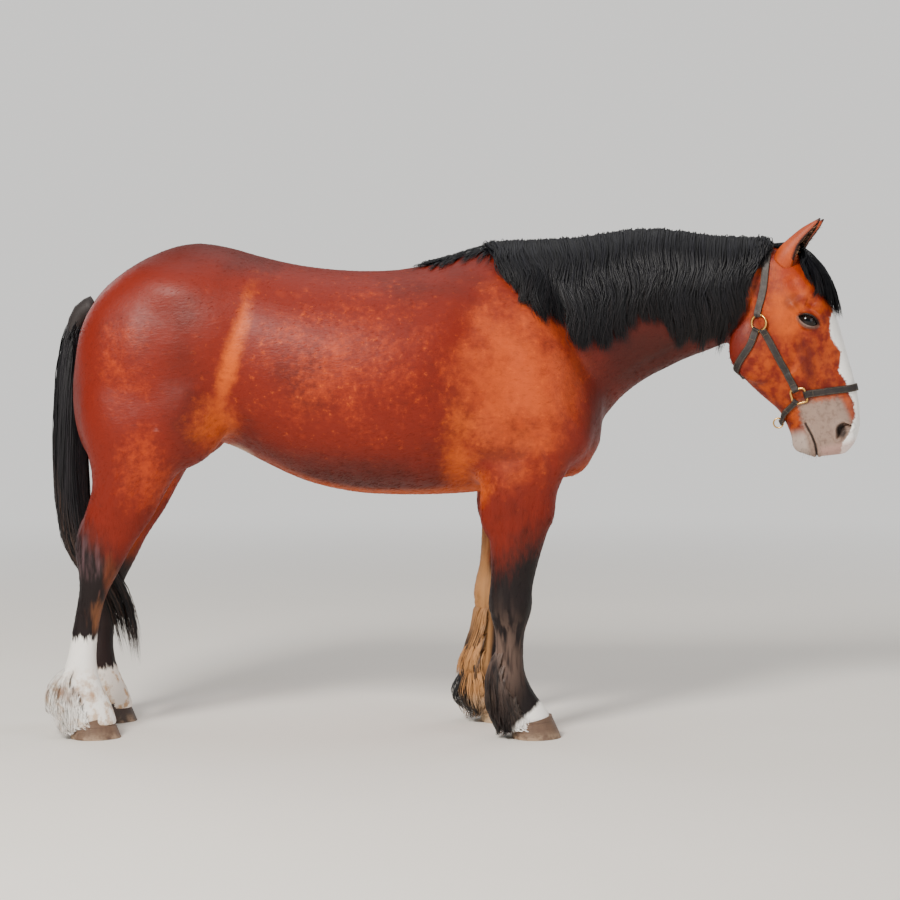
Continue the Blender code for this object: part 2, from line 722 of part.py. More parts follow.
def tail_locks(rng):
    """Locks round the dock that fall together and pass forward between the hocks."""
    made = []
    for i in range(TAIL_LOCKS):
        angle = math.tau * (i * 0.618 % 1.0)
        spread = 0.45 + 0.55 * ((i * 7) % TAIL_LOCKS) / TAIL_LOCKS
        start = 0.09 + 0.20 * ((i * 5) % TAIL_LOCKS) / TAIL_LOCKS
        end = 0.80 + 0.20 * ((i * 11) % TAIL_LOCKS) / TAIL_LOCKS
        points = []
        count = 7
        for k in range(count):
            t = k / (count - 1)
            x, z = broken(TAIL_SPINE, start + (end - start) * t)
            grow = spread * min(1.0, 0.35 + 1.6 * t) * (1 - 0.45 * max(0.0, t - 0.6) / 0.4)
            wave = 0.006 * math.sin(angle * 3 + 9 * t)
            sideways = 0.066 * grow * math.sin(angle) + wave
            back = 0.056 * grow * math.cos(angle)
            if k == 0:
                sideways *= 0.2
                back *= 0.2
            points.append(Vector((x - back, sideways, z)))
        across = [Vector((math.sin(angle), math.cos(angle), 0))] * count
        widths = taper(count, rng.uniform(0.056, 0.070), root=0.6, end=0.25)
        thicks = taper(count, 0.024, root=0.6, end=0.3)
        made.append(lambda bm, p=points, c=across, w=widths, h=thicks: strand(bm, p, c, w, h))
    return made


def feather_locks(skin, rng, line, centre, side, shift):
    """Locks at the back of a cannon and fetlock, down over the heel."""
    made = []
    for level, place in FEATHER_LOCKS:
        turn = place * 0.75 + rng.uniform(-0.12, 0.12)
        start = 0.02 + 0.24 * level
        end = min(1.0, start + 0.52 + rng.uniform(0.0, 0.06))
        out = Vector((-math.cos(turn), math.sin(turn) * side, 0))
        points = []
        count = 5
        for k in range(count):
            t = k / (count - 1)
            x, z = broken(line, start + (end - start) * t)
            level_z = max(z, 0.062)
            back = between(shift, z)
            middle = Vector((between(centre, z) + back, side * LEG_SPREAD, level_z))
            hit, _ = skin.around(middle, out)
            reach = abs(x + back - middle.x) * (math.cos(turn) ** 2) + 0.062 * math.sin(turn) ** 2
            skin_out = (hit - middle).length
            stand = max(0.0, reach - skin_out - 0.004) * math.sin(math.pi * FEATHER_CURL * t)
            flare = skin_out + 0.004 + stand if k else skin_out - 0.014
            p = middle + out * flare
            p.z = max(z, 0.012)
            points.append(p)
        across = [out.cross(Vector((0, 0, 1)))] * count
        widths = taper(count, rng.uniform(0.048, 0.060), root=0.8, end=0.42)
        thicks = taper(count, 0.013, root=0.8, end=0.3)
        made.append(lambda bm, p=points, c=across, w=widths, h=thicks: strand(bm, p, c, w, h))
    return made


def pieces_of(name, locks):
    return [single(f"{name}_{i}", make) for i, make in enumerate(locks)]


def hoof(name, front, rear, half, y, shift):
    """A hoof: an oval wall that widens to a flat sole, under a slanted top."""
    bm = bmesh.new()
    rings = []
    for z, toe, heel, wide in HOOF_RINGS:
        middle = (front + toe + rear + heel) / 2 + shift
        reach = (front + toe - rear - heel) / 2
        ring = []
        for k in range(HOOF_SIDES):
            w = math.tau * k / HOOF_SIDES
            aside = half * wide * math.sin(w) * (1 - HEEL_WIDER * math.cos(w))
            ring.append(Vector((middle + reach * math.cos(w), y + aside, z)))
        rings.append(ring)
    loft(bm, rings)
    point, outward = coronet(front + shift, rear + shift)
    bisect(bm, point - outward * GAP / 2, outward)
    bmesh.ops.triangulate(bm, faces=bm.faces)
    return new_object(name, bm, "hoof_horn", HORSE)


def coronet(front, rear):
    """The slanted plane between a hoof and its pastern, facing up."""
    rise = CORONET_FRONT - CORONET_BACK
    return Vector((front, 0, CORONET_FRONT)), Vector((-rise, 0, front - rear)).normalized()


EAR_FACE = (0.90, 0.25)
EAR_ROWS = (
    (0.0, 0.020, 0.35), (0.14, 0.024, 0.55), (0.30, 0.030, 0.95), (0.48, 0.033, 1.15),
    (0.66, 0.030, 1.15), (0.82, 0.021, 1.0), (0.93, 0.011, 0.8), (1.0, 0.004, 0.6),
)
EAR_THICK = 0.0042


def ear(name, side):
    """A cupped ear that opens forwards and outwards."""
    bm = bmesh.new()
    base = head_point(0.066, -0.020, side * 0.050)
    tip = Vector((1.248, side * 0.083, 1.711))
    axis = (tip - base).normalized()
    face = Vector((EAR_FACE[0], side * EAR_FACE[1], 0))
    face = (face - axis * face.dot(axis)).normalized()
    wide = axis.cross(face)
    rings = []
    for t, w, opening in EAR_ROWS:
        middle = base.lerp(tip, t) - face * 0.012 * math.sin(math.pi * t)
        outer = []
        inner = []
        count = 7
        thick = EAR_THICK * (1 - 0.5 * t)
        for k in range(count):
            a = (k / (count - 1) * 2 - 1) * (math.pi - opening)
            away = -face * math.cos(a) + wide * math.sin(a)
            outer.append(middle + away * w)
            inner.append(middle + away * max(w - thick, w * 0.45))
        rings.append(outer + inner[::-1])
    loft(bm, rings)
    bmesh.ops.triangulate(bm, faces=bm.faces)
    return new_object(name, bm, "bay_coat", HORSE)


def eye_place(skin, side):
    spot = head_point(0.269, 0.024)
    return Vector((spot.x, side * (skin.aside(spot.x, spot.z, side) - 0.0165), spot.z))


def lid(bm, centre, side, upper):
    """One eyelid: a tube on the eyeball from the inner to the outer corner of the eye."""
    points = []
    radii = []
    count = 7
    tilt = math.radians(-24)
    for k in range(count):
        a = math.pi * k / (count - 1)
        dx = 0.0262 * math.cos(a)
        dz = (0.0165 if upper else -0.0135) * math.sin(a)
        x = dx * math.cos(tilt) - dz * math.sin(tilt)
        z = dx * math.sin(tilt) + dz * math.cos(tilt)
        out = math.sqrt(max(0.0, (EYE_RADIUS + 0.0015) ** 2 - x * x - z * z))
        points.append(centre + Vector((x, side * out, z)))
        radii.append((0.0048 if upper else 0.0036) * (0.6 + 0.4 * math.sin(a)))
    tube(bm, points, radii, sides=6)


def mouth_groove(bm, skin):
    """A thin tube round the muzzle that cuts the line between the lips."""
    points = []
    line = ((0.607, -0.064), (0.640, -0.056), (0.670, -0.050), (0.695, -0.052), (0.712, -0.058))
    rows = [head_point(s, t) for s, t in line]
    for side in (-1, 1):
        half = []
        for p in rows:
            out = skin.aside(p.x, p.z, side) or 0.02
            half.append(Vector((p.x, side * (out + 0.0005), p.z)))
        points += half if side < 0 else half[::-1]
    tube(bm, points, [0.0024] * len(points), sides=6)


def ring_piece(name, skin, s, t, side, radius, wire, square=False):
    """A brass ring that lies flat on the cheek, just clear of it."""
    centre = head_point(s, t)
    y = skin.aside(centre.x, centre.z, side)
    near, normal, _, _ = skin.tree.find_nearest(Vector((centre.x, side * y, centre.z)))
    u = Vector((0.237, 0, -0.971))
    u = (u - normal * u.dot(normal)).normalized()
    v = normal.cross(u)
    lift = wire + GAP * 2
    count = 14
    while True:
        points = []
        for k in range(count):
            a = math.tau * (k + 0.5) / count
            way = u * math.cos(a) + v * math.sin(a)
            grow = 1 / max(abs(math.cos(a)), abs(math.sin(a))) ** 0.8 if square else 1.0
            points.append(near + normal * lift + way * radius * grow)
        gap = min((p - skin.tree.find_nearest(p)[0]).dot(skin.tree.find_nearest(p)[1]) for p in points)
        if gap > wire + GAP or lift > 0.03:
            break
        lift += 0.001
    bm = bmesh.new()
    tube(bm, points, [wire] * count, sides=6, closed=True)
    bmesh.ops.triangulate(bm, faces=bm.faces)
    return new_object(name, bm, "brass", HORSE)


def strap(name, skin, stops, lift=0.0024, steps=3):
    """A leather strap laid on the head. Each stop has s and t of a centre line and the way out from it."""
    rings = []
    count = (len(stops) - 1) * steps
    rows = [spline(stops, i / steps) for i in range(count + 1)]
    places = []
    width = STRAP_WIDTH
    for s, t, ds, dt, dy in rows:
        direction = head_point(ds, dt) - head_point(0, 0) + Vector((0, dy, 0))
        places.append(skin.around(head_point(s, t), direction))
    for i, (p, normal) in enumerate(places):
        ahead = places[min(count, i + 1)][0]
        behind = places[max(0, i - 1)][0]
        along = (ahead - behind).normalized()
        flat = along.cross(normal).normalized()
        out = flat.cross(along)
        if out.dot(normal) < 0:
            out = -out
        low = p + out * lift
        w = flat * width / 2
        h = out * STRAP_THICK
        rings.append([low - w, low + w, low + w + h, low - w + h])
    bm = bmesh.new()
    loft(bm, rings)
    bmesh.ops.triangulate(bm, faces=bm.faces)
    return new_object(name, bm, "halter_leather", HORSE)


def mirrored(stops):
    """Stops of one side, and then the same on the other side in reverse, about the last one."""
    return tuple(stops) + tuple((s, t, ds, dt, -dy) for s, t, ds, dt, dy in reversed(stops[:-1]))


CHEEK_RING = (0.2425, -0.142)
NOSE_SQUARE = (0.510, -0.0655)
CROWN = ((0.211, -0.129, 0, 0, -1), (0.130, -0.094, 0, 0, -1), (0.070, -0.064, -0.35, 0, -1),
         (0.055, -0.045, -1, 0.1, -0.5), (0.055, -0.045, -1, 0.1, 0))
THROAT = ((0.272, -0.159, 0, 0, -1), (0.318, -0.176, 0, 0, -1), (0.362, -0.181, 0.1, -0.8, -1),
          (0.388, -0.166, 0.1, -1, -0.35), (0.388, -0.166, 0.1, -1, 0))
NOSEBAND = ((0.513, -0.037, 0, 0, -1), (0.518, 0.000, 0, 0, -1), (0.524, 0.040, 0, 0.4, -1),
            (0.5275, 0.045, 0, 1, -0.7), (0.5285, 0.045, 0, 1, 0))
CHIN = ((0.532, -0.090, 0, 0, -1), (0.553, -0.110, 0.1, -0.6, -1), (0.566, -0.090, 0.15, -1, -0.45),
        (0.568, -0.090, 0.15, -1, 0))


def cheek_stops():
    """The cheek strap's line from just below the ring to just above the square."""
    low = Vector(CHEEK_RING)
    high = Vector(NOSE_SQUARE)
    return tuple((*low.lerp(high, f), 0, 0, -1) for f in (0.125, 0.37, 0.62, 0.885))


def to_side(stops, side):
    return tuple((s, t, ds, dt, -side * dy) for s, t, ds, dt, dy in stops)


def halter(skin, head, neck):
    """The leather straps and their brass, each clear of the others and of the head."""
    rings = []
    straps = []
    for side, name in ((-1, "right"), (1, "left")):
        rings.append(ring_piece(f"halter_ring_{name}", skin, *CHEEK_RING, side, RING_RADIUS, RING_WIRE))
        rings.append(ring_piece(f"halter_square_{name}", skin, *NOSE_SQUARE, side, 0.0195, RING_WIRE, True))
        straps.append(strap(f"halter_cheek_{name}", skin, to_side(cheek_stops(), side)))
    straps.append(strap("halter_crown", skin, mirrored(CROWN)))
    straps.append(strap("halter_throat", skin, mirrored(THROAT)))
    straps.append(strap("halter_noseband", skin, mirrored(NOSEBAND)))
    straps.append(strap("halter_chin", skin, mirrored(CHIN)))
    points = []
    under, _ = skin.around(head_point(0.568, -0.090), head_point(0.15, -1) - head_point(0, 0))
    centre = under + (head_point(0.15, -1) - head_point(0, 0)).normalized() * 0.0275
    for k in range(14):
        a = math.tau * k / 14
        points.append(centre + Vector((math.cos(a), 0, math.sin(a))) * 0.016)
    bm = bmesh.new()
    tube(bm, points, [0.0026] * 14, sides=6, closed=True)
    bmesh.ops.triangulate(bm, faces=bm.faces)
    rings.append(new_object("halter_chin_ring", bm, "brass", HORSE))
    for piece in straps:
        near = [grown(r) for r in rings]
        boolean(piece, "DIFFERENCE", near + [grown(head), grown(neck)])
    return rings + straps


def bend(p):
    """Turns the head to the right: the neck curves from BEND_START to BEND_END and is straight beyond."""
    if p.x <= BEND_START:
        return p
    span = BEND_END - BEND_START
    x = y = 0.0
    steps = 24
    reach = min(p.x - BEND_START, span)
    for k in range(steps):
        f = (k + 0.5) / steps * reach / span
        angle = HEAD_TURN * f * f * (3 - 2 * f)
        x += math.cos(angle) * reach / steps
        y -= math.sin(angle) * reach / steps
    f = reach / span
    angle = HEAD_TURN * f * f * (3 - 2 * f)
    beyond = p.x - BEND_START - reach
    x += math.cos(angle) * beyond + math.sin(angle) * p.y
    y += math.cos(angle) * p.y - math.sin(angle) * beyond
    return Vector((BEND_START + x, y, p.z))


def features(skin, head):
    """Joins the eyelids to the head and cuts the eye sockets, the nostrils and the line of the mouth."""
    eyes = []
    adds = []
    cuts = []
    for side, name in ((-1, "right"), (1, "left")):
        centre = eye_place(skin, side)
        radii = (EYE_RADIUS,) * 3
        eyes.append(ball(f"eye_{name}", centre, radii, "eye", HORSE, segments=14, rings=8))
        for upper in (True, False):
            adds.append(single("lid", lambda bm, u=upper, c=centre, s=side: lid(bm, c, s, u)))
        socket = tuple(r + GAP for r in radii)
        cuts.append(ball("socket", centre, socket, "eye", GUIDES, segments=14, rings=8))
        spot = head_point(0.648, 0.047)
        out = skin.aside(spot.x, spot.z, side)
        rim = Vector((spot.x, side * (out - 0.004), spot.z))
        adds.append(ball("nostril_rim", rim, (0.021, 0.011, 0.031), "bay_coat", GUIDES, -20, 12, 7))
        hole = rim + Vector((0.001, side * 0.006, 0.001))
        cuts.append(ball("nostril", hole, (0.0125, 0.017, 0.022), "bay_coat", GUIDES, -20, 10, 6))
    cuts.append(single("mouth", lambda bm: mouth_groove(bm, skin)))
    boolean(head, "UNION", adds)
    boolean(head, "DIFFERENCE", cuts)
    return eyes


LEGS = (
    ("fore_right", -1, True), ("fore_left", 1, True), ("hind_right", -1, False), ("hind_left", 1, False),
)
FORE_CENTRE = ((0.045, 0.270), (0.100, 0.248), (0.200, 0.200), (0.500, 0.200))
HIND_CENTRE = ((0.045, -1.180), (0.100, -1.190), (0.200, -1.222), (0.500, -1.185))
FORE_HOOF = (0.370, 0.205, 0.076)
HIND_HOOF = (-1.093, -1.262, 0.075)
HOOF_RINGS = (
    (0.0, 0.0, 0.0, 1.0), (0.03, -0.012, 0.0, 0.965), (0.075, -0.033, 0.003, 0.89), (0.12, -0.05, 0.0, 0.8),
)
HOOF_SIDES = 20
HEEL_WIDER = 0.12


def leg_nodes(body, skin, rng):
    """The upper and lower part of each leg and its hoof."""
    uppers = []
    lowers = []
    hooves = []
    for name, side, fore in LEGS:
        back = (LEFT_FORE_BACK if fore else LEFT_HIND_BACK) if side > 0 else ((0, 0), (2, 0))
        low = back[0][1]
        front, rear, half = FORE_HOOF if fore else HIND_HOOF
        line = FORE_TOP if fore else HIND_TOP
        top = line_plane(line, (0, 0))
        joint = FORE_KNEE if fore else HIND_HOCK
        middle = (Vector((0, 0, 0)), Vector((0, -side, 0)))
        ends = (Vector((-0.45, 0, 0)), Vector((-1.0 if fore else 1.0, 0, 0)))
        own = [middle, ends]
        if fore:
            own.append((Vector((0.8, 0, 0)), Vector((1, 0, 0))))
        down = (Vector((0, 0, joint)), Vector((0, 0, -1)))
        up = (Vector((0, 0, joint)), Vector((0, 0, 1)))
        toe, slope = coronet(front + low, rear + low)
        upper = "forearm" if fore else "gaskin"
        uppers.append(part_of(body, f"{upper}_{name[5:]}", [*own, top, down], 320, "bay_coat"))
        lower = part_of(body, f"cannon_{name}", [*own, up, (toe, -slope)], 230, "black_points")
        hooves.append(hoof(f"hoof_{name}", front, rear, half, side * 0.165, low))
        feather = FORE_FEATHER if fore else HIND_FEATHER
        centre = FORE_CENTRE if fore else HIND_CENTRE
        locks = feather_locks(skin, rng, feather, centre, side, back)
        boolean(lower, "UNION", pieces_of("feather", locks))
        boolean(lower, "DIFFERENCE", [grown(hooves[-1]), grown(uppers[-1])])
        lowers.append(lower)
    return uppers, lowers, hooves


def tail(rng, near):
    """The dock and the locks round it."""
    bm = bmesh.new()
    rows = [broken(TAIL_SPINE, t) for t in (0.0, 0.06, 0.12, 0.18, 0.25, 0.33)]
    sizes = (0.030, 0.032, 0.029, 0.025, 0.019, 0.010)
    tube(bm, [Vector((x, 0, z)) for x, z in rows], sizes, sides=10)
    bmesh.ops.triangulate(bm, faces=bm.faces)
    made = new_object("tail", bm, "black_points", HORSE)
    boolean(made, "UNION", pieces_of("tail_lock", tail_locks(rng)))
    return boolean(made, "DIFFERENCE", [grown(o) for o in near])


def finish_up():
    """Turns the head, and centres the model over the origin with its soles at z = 0."""
    nodes = list(HORSE.objects)
    for obj in nodes:
        for v in obj.data.vertices:
            v.co = bend(v.co)
    everything = [v.co for obj in nodes for v in obj.data.vertices]
    low = [min(p[i] for p in everything) for i in range(3)]
    high = [max(p[i] for p in everything) for i in range(3)]
    shift = Vector(((low[0] + high[0]) / 2, (low[1] + high[1]) / 2, low[2]))
    for obj in nodes:
        for v in obj.data.vertices:
            v.co -= shift
    for obj in list(GUIDES.objects):
        bpy.data.objects.remove(obj, do_unlink=True)


def build():
    rng = random.Random(11)
    body = flesh()
    skin = Skin(body)
    legs_off = [line_plane(FORE_TOP, (0, 2)), line_plane(HIND_TOP, (0, 2))]
    torso = part_of(body, "torso", [line_plane(NECK_CUT, (-0.5, 1.2)), *legs_off], 1250, "bay_coat")
    neck_ends = [line_plane(NECK_CUT, (0.8, 1.4)), line_plane(HEAD_CUT, (0.6, 1.4))]
    neck = part_of(body, "neck", neck_ends, 400, "bay_coat")
    head = part_of(body, "head", [line_plane(HEAD_CUT, (1.3, 1.3))], 1350, "bay_coat")
    uppers, lowers, hooves = leg_nodes(body, skin, rng)
    features(skin, head)
    trim = halter(skin, head, neck)
    crown = next(o for o in trim if o.name == "halter_crown")
    ears = [ear(f"ear_{name}", side) for side, name in ((-1, "right"), (1, "left"))]
    for piece in ears:
        boolean(piece, "DIFFERENCE", [grown(head)])
    boolean(head, "UNION", pieces_of("forelock", forelock_locks(skin, rng)))
    boolean(head, "DIFFERENCE", [grown(crown), grown(neck), *(grown(e) for e in ears)])
    boolean(torso, "UNION", pieces_of("withers", withers_locks(skin, rng)))
    boolean(torso, "DIFFERENCE", [grown(neck)])
    boolean(neck, "UNION", pieces_of("mane", mane_locks(skin, random.Random(MANE_SEED))))
    boolean(neck, "DIFFERENCE", [grown(o) for o in (torso, head, crown, *ears)])
    tail(rng, [torso, *uppers, *lowers])
    finish_up()


build()
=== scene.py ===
# %% [markdown]
# # A bay heavy horse in a leather halter
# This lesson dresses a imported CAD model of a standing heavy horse. The solids give the place and the size
# of every part. Here they get one smooth skin, a coat with its markings, a mane, a tail and feather made
# of many thin strands, shaded eyes, horn on the hooves and stitched leather.

# %% Load the frame
import math

import bmesh
import bpy
import numpy as np
from mathutils import Matrix, Vector
from mathutils.bvhtree import BVHTree


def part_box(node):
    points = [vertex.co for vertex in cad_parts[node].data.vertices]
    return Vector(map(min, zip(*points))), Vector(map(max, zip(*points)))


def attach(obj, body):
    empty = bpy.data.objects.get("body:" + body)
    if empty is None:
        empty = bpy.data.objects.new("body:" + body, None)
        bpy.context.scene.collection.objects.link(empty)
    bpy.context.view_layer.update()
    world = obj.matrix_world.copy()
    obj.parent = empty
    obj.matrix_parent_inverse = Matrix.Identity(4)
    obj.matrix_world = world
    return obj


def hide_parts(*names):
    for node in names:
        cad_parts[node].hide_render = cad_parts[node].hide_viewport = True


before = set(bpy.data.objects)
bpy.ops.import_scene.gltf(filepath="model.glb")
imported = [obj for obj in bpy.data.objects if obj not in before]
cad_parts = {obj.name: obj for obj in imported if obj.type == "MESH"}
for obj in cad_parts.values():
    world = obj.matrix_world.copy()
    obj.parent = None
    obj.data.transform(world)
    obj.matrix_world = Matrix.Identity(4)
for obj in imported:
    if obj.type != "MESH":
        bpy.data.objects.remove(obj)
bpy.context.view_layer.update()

# %% [markdown]
# The body is drawn in the side view with the head straight ahead, which keeps both sides alike. Only at
# the end is the neck bent and everything moved to where the CAD model stands. The front right hoof tells
# how far that is: its toe and its middle have known places in the drawing.

# %% Where the drawing lies in the frame
HEAD_TURN = math.radians(12)
BEND_START = 0.50
BEND_SPAN = 0.40
TOE_X = 0.370
LEG_SPREAD = 0.165
hoof_low, hoof_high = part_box("hoof_fore_right")
SHIFT = Vector((TOE_X - hoof_high.x, -LEG_SPREAD - (hoof_low.y + hoof_high.y) / 2, 0.0))
print("drawing moved by", [round(v, 4) for v in SHIFT])


def bent(points):
    """The drawing's points with the neck bent towards the right side, in the frame's place."""
    points = np.asarray(points, float)
    steps = np.linspace(0, 1, 201)
    angles = HEAD_TURN * steps**2 * (3 - 2 * steps)
    middle = (angles[1:] + angles[:-1]) / 2
    along = np.concatenate([[0], np.cumsum(np.cos(middle))]) * BEND_SPAN / 200
    aside = np.concatenate([[0], -np.cumsum(np.sin(middle))]) * BEND_SPAN / 200
    past = points[..., 0] - BEND_START
    f = np.clip(past / BEND_SPAN, 0, 1)
    angle = np.interp(f, steps, angles)
    beyond = past - np.clip(past, 0, BEND_SPAN)
    x = BEND_START + np.interp(f, steps, along) + np.cos(angle) * beyond + np.sin(angle) * points[..., 1]
    y = np.interp(f, steps, aside) + np.cos(angle) * points[..., 1] - np.sin(angle) * beyond
    moved = points.copy()
    front = past > 0
    moved[..., 0] = np.where(front, x, points[..., 0])
    moved[..., 1] = np.where(front, y, points[..., 1])
    return moved - np.array(SHIFT)


# %% [markdown]
# A camera with a long lens stands level with the withers and looks a little down, as the picture was
# taken. The floor is pale, and large soft lights stand round the horse, with the strongest high on the
# camera's side.

# %% Camera, floor and lights
CAMERA_BACK = 8.8
CAMERA_HEIGHT = 1.55
CAMERA_DOWN = 3.93
LENS = 104.9


def add_camera():
    data = bpy.data.cameras.new("camera")
    data.lens = LENS
    data.sensor_width = 36
    camera = bpy.data.objects.new("camera", data)
    camera.location = (-SHIFT.x, -CAMERA_BACK - SHIFT.y, CAMERA_HEIGHT)
    camera.rotation_euler = (math.radians(90 - CAMERA_DOWN), 0, 0)
    bpy.context.scene.collection.objects.link(camera)
    bpy.context.scene.camera = camera


def add_light(name, place, size, watts, colour=(1, 1, 1)):
    """A square soft light that faces the horse's middle."""
    data = bpy.data.lights.new(name, "AREA")
    data.size = size
    data.energy = watts
    data.color = colour
    light = bpy.data.objects.new(name, data)
    light.location = place
    light.rotation_euler = (Vector((0, 0, 1.0)) - Vector(place)).to_track_quat("-Z", "Y").to_euler()
    bpy.context.scene.collection.objects.link(light)


add_camera()
add_light("key", (-2.8, -5.4, 5.4), 1.8, 760, (1.0, 0.96, 0.90))
add_light("side_fill", (5.5, -4.5, 2.6), 3.5, 90, (0.93, 0.96, 1.0))
add_light("top", (0.2, 0.8, 5.2), 4.0, 80)
add_light("back_left", (-4.5, 4.5, 3.4), 3.0, 75)
add_light("back_right", (4.0, 5.0, 3.0), 3.0, 70)

# %% [markdown]
# Materials are written as sums. `Value` wraps one socket of a material: arithmetic on it adds Math nodes,
# and `node` adds any other kind, with its settings first and then what goes into its sockets.


# %% Shader sums
class Value:
    def __init__(self, tree, socket):
        self.tree = tree
        self.socket = socket

    def node(self, kind, settings=None, sockets=None, out=0):
        made = self.tree.nodes.new(kind)
        for name, value in (settings or {}).items():
            if name == "stops":
                set_stops(made.color_ramp, value)
            else:
                setattr(made, name, value)
        for name, value in (sockets or {}).items():
            if isinstance(value, Value):
                self.tree.links.new(value.socket, made.inputs[name])
            else:
                made.inputs[name].default_value = value
        return Value(self.tree, made.outputs[out])

    def math(self, operation, *values):
        return self.node("ShaderNodeMath", {"operation": operation}, dict(enumerate(values)))

    def __add__(self, other):
        return self.math("ADD", self, other)

    def __sub__(self, other):
        return self.math("SUBTRACT", self, other)

    def __rsub__(self, other):
        return self.math("SUBTRACT", other, self)

    def __mul__(self, other):
        return self.math("MULTIPLY", self, other)

    def __truediv__(self, other):
        return self.math("DIVIDE", self, other)

    def __pow__(self, other):
        return self.math("POWER", self, other)

    def __abs__(self):
        return self.math("ABSOLUTE", self)

    __radd__ = __add__
    __rmul__ = __mul__


def set_stops(ramp, stops):
    """Fills a colour ramp from (place, grey or colour) stops."""
    while len(ramp.elements) < len(stops):
        ramp.elements.new(0.5)
    for element, (place, value) in zip(ramp.elements, stops):
        element.position = place
        element.color = value if isinstance(value, tuple) else (value, value, value, 1.0)


def srgb(red, green, blue):
    """A screen colour of 0 to 255 as the linear colour that a shader wants."""
    parts = [c / 255 for c in (red, green, blue)]
    return (*(c / 12.92 if c <= 0.04045 else ((c + 0.055) / 1.055) ** 2.4 for c in parts), 1.0)


def mix(a, b, share):
    """Colour a where share is 0 and colour b where it is 1."""
    return share.node("ShaderNodeMix", {"data_type": "RGBA"}, {0: share, 6: a, 7: b}, out=2)


def rise(value, low, high):
    """0 below low, 1 above high, and a soft step between."""
    settings = {"interpolation_type": "SMOOTHSTEP"}
    return value.node("ShaderNodeMapRange", settings, {"Value": value, "From Min": low, "From Max": high})


def vector(p, operation, other, out=0):
    return p.node("ShaderNodeVectorMath", {"operation": operation}, {0: p, 1: other}, out=out)


def noise(p, scale, detail=2.0, rough=0.5, stretch=None):
    """Soft noise from 0 to 1. stretch squeezes it along each axis first."""
    at = vector(p, "MULTIPLY", stretch) if stretch else p
    sockets = {"Vector": at, "Scale": scale, "Detail": detail, "Roughness": rough}
    return p.node("ShaderNodeTexNoise", None, sockets)


def blob(p, centre, radii, soft=0.5):
    """1 inside an egg-shaped patch, and fading to 0 outside it."""
    apart = vector(vector(p, "SUBTRACT", centre), "DIVIDE", radii)
    far = apart.node("ShaderNodeVectorMath", {"operation": "LENGTH"}, {0: apart}, out=1)
    return 1 - rise(far, 1 - soft, 1 + soft)


def most(a, b):
    return a.math("MAXIMUM", a, b)


def axes(p):
    """The three numbers of a place."""
    split = p.node("ShaderNodeSeparateXYZ", None, {0: p})
    tree = split.tree
    return [Value(tree, split.socket.node.outputs[i]) for i in range(3)]


def kept(p, label):
    """A number that the mesh keeps at each of its points."""
    return p.node("ShaderNodeAttribute", {"attribute_name": label}, out=2)


def start(name):
    """A new material, its shader and the place on the piece."""
    made = bpy.data.materials.new(name)
    made.use_nodes = True
    tree = made.node_tree
    shader = tree.nodes["Principled BSDF"]
    places = tree.nodes.new("ShaderNodeTexCoord")
    return made, shader, Value(tree, places.outputs["Object"])


def feed(shader, socket, value):
    """Links or sets one socket of the shader."""
    if isinstance(value, Value):
        value.tree.links.new(value.socket, shader.inputs[socket])
    else:
        shader.inputs[socket].default_value = value


def paint(shader, colour, rough, relief):
    feed(shader, "Base Color", colour)
    feed(shader, "Roughness", rough)
    feed(shader, "Normal", relief)


def bump(height, distance, strength=1.0, under=None):
    """A bump of the surface, over another one where under is given."""
    sockets = {"Strength": strength, "Distance": distance, "Height": height}
    if under:
        sockets["Normal"] = under
    return height.node("ShaderNodeBump", None, sockets)


# %% [markdown]
# The floor is a wide plane in a pale, warm grey. Its colour is close to that of the world round it, so
# that the far edge hardly shows.


# %% Floor and surroundings
BACKDROP = (0.80, 0.79, 0.77, 1.0)
BACKDROP_STRENGTH = 1.25
WORLD_STRENGTH = 0.42
FADE_FROM = 2.4
FADE_TO = 8.0


def object_from(bm, name):
    """The bmesh as an object in the scene."""
    mesh = bpy.data.meshes.new(name)
    bm.to_mesh(mesh)
    bm.free()
    made = bpy.data.objects.new(name, mesh)
    bpy.context.scene.collection.objects.link(made)
    return made


def add_floor():
    bm = bmesh.new()
    bmesh.ops.create_circle(bm, cap_ends=True, segments=96, radius=45)
    floor = object_from(bm, "floor")
    material, shader, p = start("floor_paper")
    tone = noise(p, 1.3, 4.0)
    feed(shader, "Base Color", mix(srgb(232, 227, 219), srgb(238, 233, 226), tone))
    feed(shader, "Roughness", 0.85)
    x, y, _ = axes(p)
    away = rise((x * x + y * y) ** 0.5, FADE_FROM, FADE_TO)
    glow = p.node("ShaderNodeEmission", {}, {"Color": BACKDROP, "Strength": BACKDROP_STRENGTH})
    plain = p.node("ShaderNodeMixShader", {}, {0: away, 1: Value(p.tree, shader.outputs[0]), 2: glow})
    output = material.node_tree.nodes["Material Output"]
    material.node_tree.links.new(plain.socket, output.inputs["Surface"])
    floor.data.materials.append(material)


def add_backdrop():
    """A pale shell round everything. Only the camera sees it, so it sheds no light."""
    bm = bmesh.new()
    bmesh.ops.create_uvsphere(bm, u_segments=64, v_segments=32, radius=44)
    backdrop = object_from(bm, "backdrop")
    backdrop.visible_diffuse = False
    backdrop.visible_glossy = False
    backdrop.visible_shadow = False
    material = bpy.data.materials.new("backdrop_paper")
    material.use_nodes = True
    tree = material.node_tree
    glow = tree.nodes.new("ShaderNodeEmission")
    glow.inputs["Color"].default_value = BACKDROP
    glow.inputs["Strength"].default_value = BACKDROP_STRENGTH
    tree.links.new(glow.outputs[0], tree.nodes["Material Output"].inputs["Surface"])
    backdrop.data.materials.append(material)


def add_world():
    world = bpy.data.worlds.new("studio")
    world.use_nodes = True
    background = world.node_tree.nodes["Background"]
    background.inputs["Color"].default_value = BACKDROP
    background.inputs["Strength"].default_value = WORLD_STRENGTH
    bpy.context.scene.world = world


